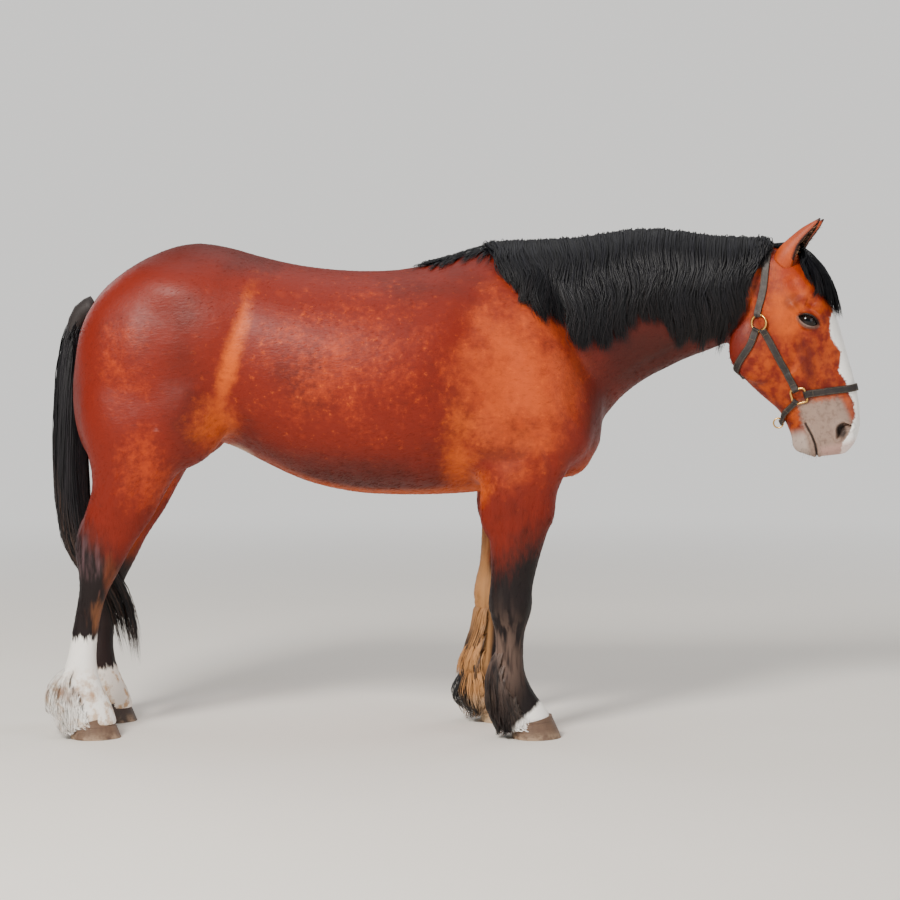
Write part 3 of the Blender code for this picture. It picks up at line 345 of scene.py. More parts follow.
add_floor()
add_backdrop()
add_world()

# %% [markdown]
# The flesh starts as a drawing: sections through trunk, neck, head and legs, each an oval between two
# points of the side view with a width. A round muscle is a stretched ball. These are the same sizes as in
# the solids.

# %% Sections of the body
# Each row: top x and z, bottom x and z, half width, where it is widest, power of the upper and lower half
TORSO = (
    (-1.215, 1.400, -1.215, 1.130, 0.100, 0.50, 2.0, 2.0),
    (-1.175, 1.470, -1.175, 1.050, 0.165, 0.50, 2.0, 2.0),
    (-1.090, 1.545, -1.090, 1.000, 0.225, 0.50, 2.1, 2.0),
    (-0.980, 1.606, -0.980, 0.985, 0.272, 0.50, 2.1, 2.0),
    (-0.860, 1.640, -0.860, 0.985, 0.298, 0.52, 2.1, 2.0),
    (-0.740, 1.626, -0.740, 0.965, 0.302, 0.55, 2.2, 2.0),
    (-0.620, 1.592, -0.620, 0.905, 0.312, 0.57, 2.2, 2.0),
    (-0.480, 1.563, -0.480, 0.843, 0.334, 0.57, 2.2, 2.1),
    (-0.320, 1.548, -0.320, 0.806, 0.348, 0.56, 2.2, 2.1),
    (-0.160, 1.553, -0.160, 0.797, 0.348, 0.55, 2.1, 2.1),
    (0.000, 1.590, 0.000, 0.799, 0.326, 0.54, 1.9, 2.1),
    (0.120, 1.628, 0.120, 0.810, 0.300, 0.54, 1.7, 2.2),
    (0.240, 1.618, 0.240, 0.828, 0.278, 0.54, 1.8, 2.2),
    (0.360, 1.520, 0.360, 0.855, 0.248, 0.50, 2.0, 2.2),
    (0.450, 1.380, 0.450, 0.895, 0.205, 0.50, 2.0, 2.2),
    (0.505, 1.220, 0.505, 0.965, 0.145, 0.50, 2.0, 2.1),
)
NECK = (
    (0.000, 1.585, 0.360, 0.950, 0.200, 0.55, 1.8, 2.0),
    (0.160, 1.632, 0.500, 1.040, 0.205, 0.55, 1.8, 2.0),
    (0.300, 1.643, 0.575, 1.122, 0.182, 0.56, 1.8, 2.0),
    (0.440, 1.657, 0.650, 1.180, 0.156, 0.57, 1.8, 2.0),
    (0.580, 1.678, 0.730, 1.222, 0.137, 0.57, 1.8, 2.1),
    (0.720, 1.682, 0.805, 1.258, 0.124, 0.57, 1.8, 2.1),
    (0.860, 1.664, 0.875, 1.283, 0.115, 0.55, 1.9, 2.1),
    (0.980, 1.648, 0.925, 1.310, 0.106, 0.50, 2.0, 2.1),
    (1.070, 1.636, 0.970, 1.365, 0.090, 0.50, 2.0, 2.1),
)
HEAD = (
    (1.095, 1.634, 0.985, 1.600, 0.055, 0.50, 2.2, 2.2),
    (1.155, 1.608, 0.975, 1.560, 0.080, 0.50, 2.3, 2.2),
    (1.215, 1.543, 0.960, 1.480, 0.096, 0.42, 2.5, 2.2),
    (1.257, 1.474, 0.945, 1.400, 0.106, 0.36, 2.7, 2.2),
    (1.287, 1.405, 0.936, 1.325, 0.108, 0.35, 2.6, 2.2),
    (1.309, 1.332, 0.943, 1.247, 0.101, 0.42, 2.3, 2.2),
    (1.328, 1.266, 0.988, 1.187, 0.091, 0.44, 2.1, 2.2),
    (1.347, 1.200, 1.048, 1.130, 0.079, 0.44, 2.1, 2.2),
    (1.361, 1.143, 1.102, 1.083, 0.070, 0.44, 2.1, 2.2),
    (1.369, 1.084, 1.132, 1.029, 0.069, 0.42, 2.2, 2.2),
    (1.368, 1.024, 1.152, 0.978, 0.072, 0.38, 2.3, 2.2),
    (1.350, 0.974, 1.176, 0.946, 0.063, 0.40, 2.3, 2.2),
    (1.322, 0.943, 1.214, 0.931, 0.040, 0.50, 2.2, 2.2),
)

# %% [markdown]
# A leg is a stack of level ovals. Each row gives the height, the front and the back edge, half the width
# and how far the oval stands from the middle of the horse.

# %% Sections of the legs
# Each row: height, front x, back x, half width, distance from the middle
FORELEG = (
    (1.060, 0.440, 0.090, 0.080, 0.195),
    (0.940, 0.415, 0.085, 0.092, 0.203),
    (0.850, 0.367, 0.098, 0.090, 0.205),
    (0.770, 0.342, 0.117, 0.083, 0.203),
    (0.690, 0.322, 0.127, 0.075, 0.199),
    (0.610, 0.298, 0.134, 0.067, 0.194),
    (0.545, 0.281, 0.136, 0.062, 0.189),
    (0.490, 0.272, 0.130, 0.063, 0.186),
    (0.445, 0.272, 0.127, 0.066, 0.184),
    (0.400, 0.262, 0.138, 0.060, 0.182),
    (0.355, 0.248, 0.149, 0.050, 0.180),
    (0.290, 0.243, 0.151, 0.045, 0.177),
    (0.235, 0.246, 0.148, 0.047, 0.174),
    (0.195, 0.257, 0.140, 0.055, 0.172),
    (0.160, 0.274, 0.142, 0.057, 0.170),
    (0.125, 0.297, 0.160, 0.053, 0.167),
    (0.090, 0.323, 0.182, 0.060, 0.165),
    (0.045, 0.345, 0.195, 0.066, 0.165),
)
HINDLEG = (
    (1.160, -0.830, -1.225, 0.115, 0.185),
    (1.060, -0.805, -1.222, 0.125, 0.195),
    (0.980, -0.835, -1.205, 0.118, 0.200),
    (0.910, -0.878, -1.184, 0.105, 0.200),
    (0.840, -0.920, -1.180, 0.092, 0.197),
    (0.780, -0.955, -1.194, 0.079, 0.193),
    (0.720, -0.992, -1.214, 0.066, 0.188),
    (0.675, -1.025, -1.232, 0.059, 0.185),
    (0.635, -1.052, -1.238, 0.060, 0.183),
    (0.590, -1.076, -1.234, 0.061, 0.181),
    (0.540, -1.103, -1.226, 0.058, 0.179),
    (0.490, -1.130, -1.226, 0.052, 0.177),
    (0.430, -1.151, -1.236, 0.045, 0.175),
    (0.350, -1.166, -1.252, 0.042, 0.173),
    (0.275, -1.173, -1.266, 0.044, 0.171),
    (0.225, -1.169, -1.282, 0.050, 0.169),
    (0.180, -1.158, -1.290, 0.056, 0.168),
    (0.135, -1.138, -1.274, 0.053, 0.166),
    (0.095, -1.120, -1.262, 0.060, 0.165),
    (0.045, -1.106, -1.256, 0.066, 0.165),
)
# How far the left legs stand back, by height
LEFT_FORE_BACK = ((0.0, -0.100), (0.10, -0.100), (0.445, -0.045), (0.85, 0.0), (1.2, 0.0))
LEFT_HIND_BACK = ((0.0, 0.014), (0.50, 0.012), (0.90, 0.0), (1.2, 0.0))

# %% [markdown]
# Muscles and bones that stand out are stretched balls, the same on both sides. Each row gives the centre,
# the radii, and the turn and lean in degrees.

# %% Muscles and bones
# Each row: centre, radii, turn, lean
MASSES = (
    ((-0.870, 0.120, 1.430), (0.270, 0.160, 0.150), 8, 10),
    ((-0.985, 0.160, 1.260), (0.250, 0.145, 0.290), 0, 6),
    ((-1.135, 0.120, 1.180), (0.115, 0.115, 0.280), 4, 0),
    ((-0.905, 0.200, 1.085), (0.185, 0.118, 0.200), 20, 0),
    ((-1.045, 0.195, 0.900), (0.125, 0.088, 0.170), 24, 0),
    ((-1.196, 0.182, 0.665), (0.028, 0.026, 0.070), -8, 0),
    ((0.225, 0.170, 1.250), (0.150, 0.110, 0.330), -24, 12),
    ((0.140, 0.195, 1.060), (0.190, 0.105, 0.185), 0, 0),
    ((0.360, 0.160, 1.060), (0.120, 0.100, 0.160), -10, 10),
    ((0.385, 0.085, 0.965), (0.100, 0.085, 0.110), 0, 0),
    ((0.276, 0.203, 0.830), (0.074, 0.074, 0.150), -8, 0),
    ((0.165, 0.203, 0.800), (0.070, 0.066, 0.140), 6, 0),
    ((0.205, 0.185, 0.448), (0.062, 0.060, 0.052), 0, 0),
    ((1.050, 0.064, 1.290), (0.112, 0.036, 0.115), 0, 0),
    ((1.212, 0.084, 1.390), (0.046, 0.030, 0.036), -20, 0),
    ((1.232, 0.070, 1.265), (0.022, 0.018, 0.110), -14, 0),
    ((1.322, 0.048, 1.012), (0.036, 0.026, 0.046), -14, 0),
    ((1.180, 0.018, 0.985), (0.034, 0.030, 0.042), 0, 0),
    ((1.140, 0.047, 1.585), (0.030, 0.024, 0.036), 20, -20),
)

# %% [markdown]
# A skin over sections is a loft: `create_circle` makes each ring, its points move onto the oval, and
# `bridge_loops` joins ring to ring. A smooth curve through the rows gives the rings between them.


# %% Rings and lofts
def spline(rows, t):
    """The row at t (0 to the last row's number), on a smooth curve through all the rows."""
    last = len(rows) - 1
    i = min(int(t), last - 1)
    u = t - i
    quad = [rows[max(0, min(last, i + k))] for k in (-1, 0, 1, 2)]
    return [
        0.5 * (2 * b + (c - a) * u + (2 * a - 5 * b + 4 * c - d) * u * u + (3 * b - a - 3 * c + d) * u**3)
        for a, b, c, d in zip(*quad)
    ]


def between(stops, at):
    """The value at one place of a broken line of (place, value) stops."""
    return float(np.interp(at, [s[0] for s in stops], [s[1] for s in stops]))


def oval(row, y=0.0):
    """One section: gives the point at an angle, on an oval between the row's two ends."""
    ax, az, bx, bz, half, wide, power_a, power_b = row
    a = Vector((ax, y, az))
    b = Vector((bx, y, bz))
    middle = a.lerp(b, wide)

    def at(angle):
        c = math.cos(angle)
        s = math.sin(angle)
        power = 2 / (power_a if s >= 0 else power_b)
        reach = (a - middle) if s >= 0 else (b - middle)
        return middle + reach * abs(s) ** power + Vector((0, math.copysign(abs(c) ** power, c) * half, 0))

    return at


def loft(shapes, sides, closed=False):
    """A bmesh skin over rings. Each shape gives the ring's point at an angle."""
    bm = bmesh.new()
    rings = []
    for shape in shapes:
        made = bmesh.ops.create_circle(bm, cap_ends=False, segments=sides, radius=1.0)["verts"]
        for k, v in enumerate(made):
            v.co = shape(math.tau * k / sides)
        rings.append(list({e for v in made for e in v.link_edges}))
    for low, high in zip(rings, rings[1:] + (rings[:1] if closed else [])):
        bmesh.ops.bridge_loops(bm, edges=low + high)
    if not closed:
        for end in (rings[0], rings[-1]):
            bmesh.ops.holes_fill(bm, edges=end, sides=0)
    bmesh.ops.recalc_face_normals(bm, faces=bm.faces)
    return bm


def body_shapes(rows, steps=4):
    return [oval(spline(rows, i / steps)) for i in range((len(rows) - 1) * steps + 1)]


def leg_shapes(rows, side, back, steps=3):
    shapes = []
    for i in range((len(rows) - 1) * steps + 1):
        z, front, rear, half, y = spline(rows, i / steps)
        shift = between(back, z) if back else 0.0
        shapes.append(oval((front + shift, z, rear + shift, z, half, 0.5, 2.1, 2.1), side * y))
    return shapes


def gather(target, bm):
    """Adds one bmesh to another."""
    mesh = bpy.data.meshes.new("part")
    bm.to_mesh(mesh)
    bm.free()
    target.from_mesh(mesh)
    bpy.data.meshes.remove(mesh)


# %% [markdown]
# The lofts and balls overlap. A voxel remesh turns them into one closed skin, as clay is pressed
# together, and a smoothing pass takes the steps out. It is stronger on the trunk, where big muscles flow
# into each other.


# %% One skin from all the forms
VOXEL = 0.0080


def add_muscle(bm, centre, radii, turn, lean, side):
    x, y, z = centre
    place = (
        Matrix.Translation((x, side * y, z))
        @ Matrix.Rotation(side * math.radians(lean), 4, "X")
        @ Matrix.Rotation(math.radians(turn), 4, "Y")
        @ Matrix.Diagonal((*radii, 1.0))
    )
    bmesh.ops.create_uvsphere(bm, u_segments=24, v_segments=16, radius=1.0, matrix=place)


def draw_forms():
    bm = bmesh.new()
    gather(bm, loft(body_shapes(TORSO), 48))
    gather(bm, loft(body_shapes(NECK), 40))
    gather(bm, loft(body_shapes(HEAD), 40))
    for side in (-1, 1):
        left = side > 0
        gather(bm, loft(leg_shapes(FORELEG, side, LEFT_FORE_BACK if left else None), 24))
        gather(bm, loft(leg_shapes(HINDLEG, side, LEFT_HIND_BACK if left else None), 24))
        for (x, y, z), radii, turn, lean in MASSES:
            back = between(LEFT_FORE_BACK if x > 0 else LEFT_HIND_BACK, z) if left else 0.0
            add_muscle(bm, (x + back, y, z), radii, turn, lean, side)
    return bm


def settle(obj):
    """Applies the modifiers."""
    graph = bpy.context.evaluated_depsgraph_get()
    mesh = bpy.data.meshes.new_from_object(obj.evaluated_get(graph))
    obj.modifiers.clear()
    old = obj.data
    obj.data = mesh
    bpy.data.meshes.remove(old)
    return obj


def places_of(mesh):
    flat = np.empty(len(mesh.vertices) * 3, np.float32)
    mesh.vertices.foreach_get("co", flat)
    return flat.reshape(-1, 3).astype(float)


def normals_of(mesh):
    flat = np.empty(len(mesh.vertices) * 3, np.float32)
    mesh.vertex_normals.foreach_get("vector", flat)
    return flat.reshape(-1, 3).astype(float)


def put(mesh, places):
    mesh.vertices.foreach_set("co", np.ascontiguousarray(places, np.float32).ravel())
    mesh.update()


def group(obj, name, weights):
    """A vertex group with the given weights, set in coarse steps."""
    made = obj.vertex_groups.new(name=name)
    steps = np.round(np.asarray(weights) * 8).astype(int)
    for step in range(1, 9):
        made.add([int(i) for i in np.nonzero(steps == step)[0]], step / 8, "REPLACE")
    return name


def relax(obj, name, weights, rounds):
    smoothing = obj.modifiers.new(name, "SMOOTH")
    smoothing.factor = 0.5
    smoothing.iterations = rounds
    smoothing.vertex_group = group(obj, name, weights)


skin = object_from(draw_forms(), "horse_skin")
remesh = skin.modifiers.new("one_skin", "REMESH")
remesh.mode = "VOXEL"
remesh.voxel_size = VOXEL
settle(skin)
heights = places_of(skin.data)
trunk = np.clip((heights[:, 2] - 0.72) / 0.1, 0, 1) * (heights[:, 0] < 0.93)
FINENESS = (0.0095 / VOXEL) ** 2
relax(skin, "all_over", np.ones(len(heights)), round(5 * FINENESS))
relax(skin, "trunk", trunk, round(60 * FINENESS))
settle(skin)
print("skin faces", len(skin.data.polygons))

# %% [markdown]
# The head needs a finer mesh than the barrel. `subdivide_edges` splits the faces of the head once, and
# those round the eyes and the muzzle twice, so that lids, nostrils and lips can be pressed in.


# %% A finer head
POLL = Vector((1.117, 0.0, 1.640))
DOWN_FACE = Vector((0.237, 0.0, -0.971))
OUT_FACE = Vector((0.971, 0.0, 0.237))


def head_point(s, t, y=0.0):
    """A place on the head: s down the face from the poll, t forward of that line, y to the left."""
    return POLL + DOWN_FACE * s + OUT_FACE * t + Vector((0, y, 0))


def on_head(places):
    """Columns s, t and y of places."""
    apart = places - np.array(POLL)
    return apart @ np.array(DOWN_FACE), apart @ np.array(OUT_FACE), places[:, 1]


def refine(bm, wanted):
    """Splits the faces whose corners are wanted."""
    places = np.array([v.co for v in bm.verts])
    inside = wanted(places)
    bm.verts.index_update()
    edges = [e for e in bm.edges if inside[e.verts[0].index] and inside[e.verts[1].index]]
    bmesh.ops.subdivide_edges(bm, edges=edges, cuts=1, use_grid_fill=True)


def whole_head(places):
    s, t, _ = on_head(places)
    return (s > -0.03) & (t > -0.30) & (places[:, 0] > 0.90) & (places[:, 2] > 0.85)


def finest(places):
    s, t, y = on_head(places)
    eye = ((s - 0.269) / 0.065) ** 2 + ((t - 0.024) / 0.060) ** 2 < 1
    return (eye & (np.abs(y) > 0.055)) | ((s > 0.575) & (t > -0.15))


def finer_head(obj):
    bm = bmesh.new()
    bm.from_mesh(obj.data)
    refine(bm, whole_head)
    refine(bm, finest)
    spare = whole_head(np.array([v.co for v in bm.verts]))
    bm.verts.ensure_lookup_table()
    near = [bm.verts[i] for i in np.nonzero(spare)[0]]
    for _ in range(3):
        bmesh.ops.smooth_vert(bm, verts=near, factor=0.5, use_axis_x=True, use_axis_y=True, use_axis_z=True)
    bmesh.ops.triangulate(bm, faces=bm.faces)
    bm.to_mesh(obj.data)
    bm.free()


finer_head(skin)
print("skin faces with the finer head", len(skin.data.polygons))

# %% [markdown]
# Muscle edges, tendons, veins and folds are shallow. Each is a line in the side view that pushes the skin
# in or out along its own normals, strongest on the line and fading to both sides and at both ends.


# %% Pressing lines into the skin
def off_line(flat, path):
    """Distance of each flat place to a broken line, and how far along it that is (0 to 1)."""
    path = np.array(path, float)
    lengths = np.linalg.norm(np.diff(path, axis=0), axis=1)
    total = lengths.sum()
    best = np.full(len(flat), 9.0)
    along = np.zeros(len(flat))
    done = 0.0
    for a, b, length in zip(path, path[1:], lengths):
        u = np.clip(((flat - a) @ (b - a)) / length**2, 0, 1)
        apart = np.linalg.norm(flat - a - u[:, None] * (b - a), axis=1)
        closer = apart < best
        best = np.where(closer, apart, best)
        along = np.where(closer, (done + u * length) / total, along)
        done += length
    return best, along


def press(places, normals, flat, path, radius, height, facing=0.35, where=None):
    """Moves the skin by height along its normals near a line. facing asks for skin that faces sideways."""
    low = np.min(path, axis=0) - 3 * radius
    high = np.max(path, axis=0) + 3 * radius
    near = np.all((flat > low) & (flat < high), axis=1)
    if where is not None:
        near &= where
    apart, along = off_line(flat[near], path)
    ends = np.clip(np.minimum(along, 1 - along) * 5, 0, 1)
    sideways = np.clip((np.abs(normals[near, 1]) - facing + 0.25) / 0.25, 0, 1)
    amount = height * np.exp(-((apart / radius) ** 2)) * (0.25 + 0.75 * ends) * sideways
    places[near] += normals[near] * amount[:, None]


# Body lines in the side view: points, radius and height
BODY_LINES = (
    (((0.330, 1.520), (0.367, 1.363), (0.430, 1.270), (0.485, 1.150)), 0.030, -0.009),
    (((0.250, 1.500), (0.330, 1.300), (0.395, 1.150)), 0.045, 0.008),
    (((0.090, 1.470), (0.045, 1.300), (0.030, 1.120), (0.075, 0.960)), 0.048, -0.006),
    (((0.150, 1.180), (0.200, 1.080), (0.280, 1.020), (0.340, 1.040)), 0.020, -0.007),
    (((0.100, 0.985), (0.160, 0.935), (0.240, 0.920)), 0.026, -0.004),
    (((0.290, 1.010), (0.330, 0.930), (0.335, 0.860)), 0.016, -0.006),
    (((0.215, 0.880), (0.212, 0.760), (0.205, 0.640), (0.200, 0.560)), 0.011, -0.0050),
    (((0.285, 0.860), (0.262, 0.720), (0.240, 0.600)), 0.010, -0.0035),
    (((0.150, 0.840), (0.160, 0.720), (0.165, 0.600)), 0.010, -0.0030),
    (((-0.660, 1.480), (-0.690, 1.380), (-0.720, 1.240), (-0.750, 1.100)), 0.050, -0.008),
    (((-0.640, 1.535), (-0.655, 1.490), (-0.670, 1.450)), 0.044, 0.003),
    (((-0.740, 1.080), (-0.790, 1.000), (-0.850, 0.960)), 0.024, -0.008),
    (((-1.085, 1.440), (-1.100, 1.300), (-1.085, 1.150), (-1.060, 1.020)), 0.040, -0.004),
    (((-0.990, 1.160), (-0.960, 1.060), (-0.985, 0.960)), 0.034, -0.004),
    (((-1.060, 1.010), (-1.085, 0.900), (-1.120, 0.800), (-1.165, 0.720)), 0.014, -0.0065),
    (((-0.990, 0.930), (-1.030, 0.820), (-1.070, 0.720)), 0.014, -0.0040),
    (((-1.165, 0.820), (-1.175, 0.750), (-1.195, 0.700)), 0.014, -0.004),
    (((0.395, 1.130), (0.440, 1.060), (0.455, 0.990)), 0.024, -0.006),
    (((0.560, 1.170), (0.680, 1.245), (0.800, 1.305), (0.890, 1.340)), 0.018, -0.007),
    (((0.500, 1.300), (0.640, 1.390), (0.800, 1.440), (0.930, 1.450)), 0.040, -0.006),
    (((-0.560, 0.935), (-0.400, 0.905), (-0.200, 0.900), (-0.040, 0.930)), 0.030, -0.004),
)
# Lines of the lower legs: between cannon bone and tendon, round the knee, hock and fetlock
LEG_LINES = (
    (((0.182, 0.385), (0.180, 0.300), (0.178, 0.240)), 0.008, -0.0075),
    (((0.232, 0.490), (0.250, 0.450), (0.240, 0.410)), 0.010, 0.004),
    (((0.160, 0.500), (0.150, 0.450), (0.165, 0.410)), 0.010, 0.004),
    (((0.200, 0.480), (0.205, 0.440), (0.200, 0.410)), 0.012, -0.004),
    (((0.188, 0.230), (0.190, 0.195), (0.196, 0.165)), 0.010, 0.0035),
    (((-1.208, 0.430), (-1.218, 0.340), (-1.228, 0.270)), 0.008, -0.0070),
    (((-1.120, 0.640), (-1.150, 0.580), (-1.175, 0.520)), 0.014, -0.0065),
    (((-1.195, 0.650), (-1.200, 0.580), (-1.205, 0.520)), 0.010, 0.004),
    (((-1.228, 0.230), (-1.232, 0.195), (-1.225, 0.165)), 0.010, 0.0035),
)


def press_body(places, normals):
    side_view = places[:, [0, 2]]
    for path, radius, height in BODY_LINES:
        press(places, normals, side_view, path, radius, height)
    for left in (False, True):
        back = np.zeros(len(places))
        if left:
            fore = places[:, 0] > -0.5
            z = places[:, 2]
            back = np.where(fore, np.interp(z, *zip(*LEFT_FORE_BACK)), np.interp(z, *zip(*LEFT_HIND_BACK)))
        own = side_view - np.stack([back, np.zeros(len(back))], axis=1)
        mine = (places[:, 1] > 0) == left
        for path, radius, height in LEG_LINES:
            press(places, normals, own, path, radius, height, where=mine)


# %% [markdown]
# On the head the lines are in head measure: s runs down the face and t out of it. The bony ridge below
# the eye, the hollow above it, the edge of the jaw muscle and the veins give a heavy horse's face its
# planes.

# %% Lines of the face
# Each line: points in s and t, radius, height
FACE_LINES = (
    (((0.300, 0.010), (0.360, 0.012), (0.420, 0.012)), 0.010, 0.0050),
    (((0.330, 0.060), (0.420, 0.062), (0.500, 0.066), (0.580, 0.066)), 0.022, -0.0060),
    (((0.330, 0.035), (0.400, 0.036), (0.450, 0.034)), 0.010, -0.0030),
    (((0.205, 0.030), (0.215, 0.046), (0.228, 0.054)), 0.015, -0.0090),
    (((0.196, -0.020), (0.235, 0.000), (0.262, 0.000)), 0.012, 0.0060),
    (((0.110, 0.000), (0.160, 0.010), (0.195, 0.018)), 0.022, -0.0050),
    (((0.300, -0.020), (0.350, -0.030), (0.400, -0.060), (0.430, -0.105)), 0.014, -0.0065),
    (((0.350, -0.205), (0.400, -0.160), (0.425, -0.120)), 0.012, -0.0030),
    (((0.120, -0.080), (0.190, -0.130), (0.280, -0.165)), 0.018, -0.0040),
    (((0.305, -0.010), (0.370, -0.010), (0.430, -0.020), (0.500, -0.030)), 0.0035, 0.0022),
    (((0.430, -0.020), (0.470, 0.000), (0.520, 0.030)), 0.0032, 0.0018),
    (((0.380, -0.010), (0.420, -0.050), (0.440, -0.100)), 0.0035, 0.0020),
    (((0.560, -0.010), (0.600, -0.030), (0.640, -0.030)), 0.016, 0.0030),
    (((0.545, 0.020), (0.585, 0.022), (0.620, 0.034)), 0.012, -0.0035),
    (((0.620, -0.100), (0.655, -0.090), (0.690, -0.088)), 0.014, 0.0030),
)


def press_face(places, normals):
    s, t, _ = on_head(places)
    flat = np.stack([s, t], axis=1)
    ahead = places[:, 0] > 0.92
    for path, radius, height in FACE_LINES:
        press(places, normals, flat, path, radius, height, where=ahead)


# %% [markdown]
# An eye sits half in its socket. The skin inside the lids' opening is pushed behind the eyeball, and the
# skin round it is laid on the ball as lids, with a fold above. The opening is an almond that slants down
# to the nose.

# %% Eyelids
EYE_AT = (0.269, 0.024)
EYE_RADIUS = 0.0330
EYE_DEPTH = 0.0205
EYE_SLANT = math.radians(-24)
LID_HALF = 0.0335
LID_UP = 0.0188
LID_DOWN = 0.0158
LID_THICK = 0.0042


def outermost(tree, x, z, side):
    """The skin's place on one side of the drawing, or None past its edge."""
    return tree.ray_cast(Vector((x, side * 3.0, z)), Vector((0, -side, 0)))[0]


def tree_of(mesh):
    return BVHTree.FromPolygons([v.co for v in mesh.vertices], [p.vertices for p in mesh.polygons])


def eye_axes(side):
    """Along the lids, up from them, and out of the eye."""
    out = Vector((0.20, side, 0.05)).normalized()
    along = Vector((math.cos(EYE_SLANT), 0, math.sin(EYE_SLANT)))
    along = (along - out * along.dot(out)).normalized()
    up = out.cross(along) * -side
    return along, up, out


def eye_centre(tree, side):
    spot = head_point(*EYE_AT)
    hit = outermost(tree, spot.x, spot.z, side)
    return hit - eye_axes(side)[2] * EYE_DEPTH


def lid_edge(a, upper):
    """How far the opening reaches up or down at a, along the lids."""
    f = np.clip(1 - (np.abs(a) / LID_HALF) ** 2.2, 0, 1) ** 0.75
    return f * (LID_UP if upper else LID_DOWN)


def press_eye(places, centre, side):
    along, up, out = (np.array(v) for v in eye_axes(side))
    apart = places - np.array(centre)
    a = apart @ along
    b = apart @ up
    c = apart @ out
    near = (np.hypot(a, b) < 0.060) & (c > -0.02)
    edge = np.where(b > 0, lid_edge(a, True), lid_edge(a, False))
    past = np.where(np.abs(a) < LID_HALF, np.abs(b) - edge, np.hypot(np.abs(a) - LID_HALF, b))
    ball = np.sqrt(np.clip(EYE_RADIUS**2 - a**2 - b**2, 0, None))
    lid = np.sqrt(np.clip((EYE_RADIUS + LID_THICK) ** 2 - a**2 - b**2, 0, None))
    hold = np.clip(1 - past / 0.017, 0, 1)
    hold = hold * hold * (3 - 2 * hold)
    raised = c + (np.maximum(lid, c - 0.004) - c) * hold
    fold = np.exp(-(((past - 0.0105) / 0.0022) ** 2)) * 0.0020 * (b > 0)
    fold += np.exp(-(((past - 0.0165) / 0.0026) ** 2)) * 0.0014 * (b > 0)
    fold += np.exp(-(((past - 0.0095) / 0.0022) ** 2)) * 0.0012 * (b <= 0)
    sunk = np.minimum(c, ball - 0.0030)
    over_ball = np.where(np.hypot(a, b) < EYE_RADIUS, ball + 0.0014, -1.0)
    new = np.where(past < -0.0004, sunk, np.maximum(raised - fold, over_ball))
    places[near] += out * (new - c)[near, None]


# %% [markdown]
# The nostril is a comma with a raised, soft rim, and the mouth is a fold between full lips that runs back
# below the muzzle. Both are pressed into the fine mesh.

# %% Nostrils and mouth
NOSTRIL_LINE = ((0.641, 0.072), (0.632, 0.056), (0.640, 0.040), (0.667, 0.027))
MOUTH_LINE = (
    (0.598, -0.066), (0.612, -0.062), (0.640, -0.054), (0.670, -0.050), (0.697, -0.052), (0.722, -0.060),
)


def press_nostril(places, normals):
    s, t, y = on_head(places)
    flat = np.stack([s, t], axis=1)
    apart, along = off_line(flat, NOSTRIL_LINE)
    half = 0.0042 + 0.0062 * np.sin(np.pi * np.clip(0.15 + 0.80 * along, 0, 1))
    near = (apart < 0.05) & (np.abs(y) > 0.022) & (s > 0.56)
    past = apart - half
    rim = 0.0050 * np.exp(-(((past - 0.0050) / 0.0055) ** 2))
    deep = np.clip(-past / 0.0050, 0, 1)
    hole = deep * deep * (3 - 2 * deep)
    inwards = np.stack([np.full(len(places), 0.10), -np.sign(y) * 0.80, np.full(len(places), 0.25)], axis=1)
    places[near] += normals[near] * rim[near, None] + inwards[near] * (0.028 * hole)[near, None]


def press_mouth(places, normals):
    s, t, _ = on_head(places)
    flat = np.stack([s, t], axis=1)
    apart, _ = off_line(flat, MOUTH_LINE)
    near = (apart < 0.04) & (s > 0.57)
    groove = -0.0065 * np.exp(-((apart / 0.0026) ** 2))
    above = np.sign(t - np.interp(s, *zip(*MOUTH_LINE)))
    lips = 0.0032 * np.exp(-(((apart - 0.0085) / 0.0058) ** 2)) * np.where(above > 0, 1.0, 0.9)
    corner = np.clip((s - 0.595) / 0.02, 0, 1)
    places[near] += normals[near] * ((groove + lips * corner)[near, None])
    for shift in (0.009, 0.017):
        fold = [(0.600 - shift * 0.5, -0.052 + shift), (0.606 - shift, -0.066), (0.604 - shift * 0.6, -0.082)]
        press(places, normals, flat, fold, 0.0024, -0.0018, where=s > 0.56)


def dress_skin(obj):
    """All the vertex moves on the straight skin. Returns the centres of the eyes."""
    places = places_of(obj.data)
    normals = normals_of(obj.data)
    press_body(places, normals)
    press_face(places, normals)
    put(obj.data, places)
    tree = tree_of(obj.data)
    centres = {side: eye_centre(tree, side) for side in (-1, 1)}
    normals = normals_of(obj.data)
    press_nostril(places, normals)
    press_mouth(places, normals)
    for side, centre in centres.items():
        press_eye(places, centre, side)
    put(obj.data, places)
    return centres


EYES = dress_skin(skin)
print("eyes at", {side: [round(v, 3) for v in centre] for side, centre in EYES.items()})

# %% [markdown]
# A smooth barrel needs few triangles and the face many. `Decimate` joins triangles where a vertex group
# allows it, and the head is left alone.

# %% Fewer triangles away from the head
SKIN_TRIANGLES = 190000


def thin_out(obj, triangles):
    places = places_of(obj.data)
    free = 1 - whole_head(places) * 1.0
    thinning = obj.modifiers.new("thin_out", "DECIMATE")
    thinning.ratio = min(1.0, triangles / len(obj.data.polygons))
    thinning.vertex_group = group(obj, "free", free)
    thinning.vertex_group_factor = 4.0
    settle(obj)


thin_out(skin, SKIN_TRIANGLES)
print("skin triangles", sum(len(p.vertices) - 2 for p in skin.data.polygons))
SKIN_TREE = tree_of(skin.data)

# %% [markdown]
# The coat has its markings from places on the body, so skin and hair can share them. For the head the
# place is turned into head measure first: how far down the face, how far out of it and how far from its
# middle.

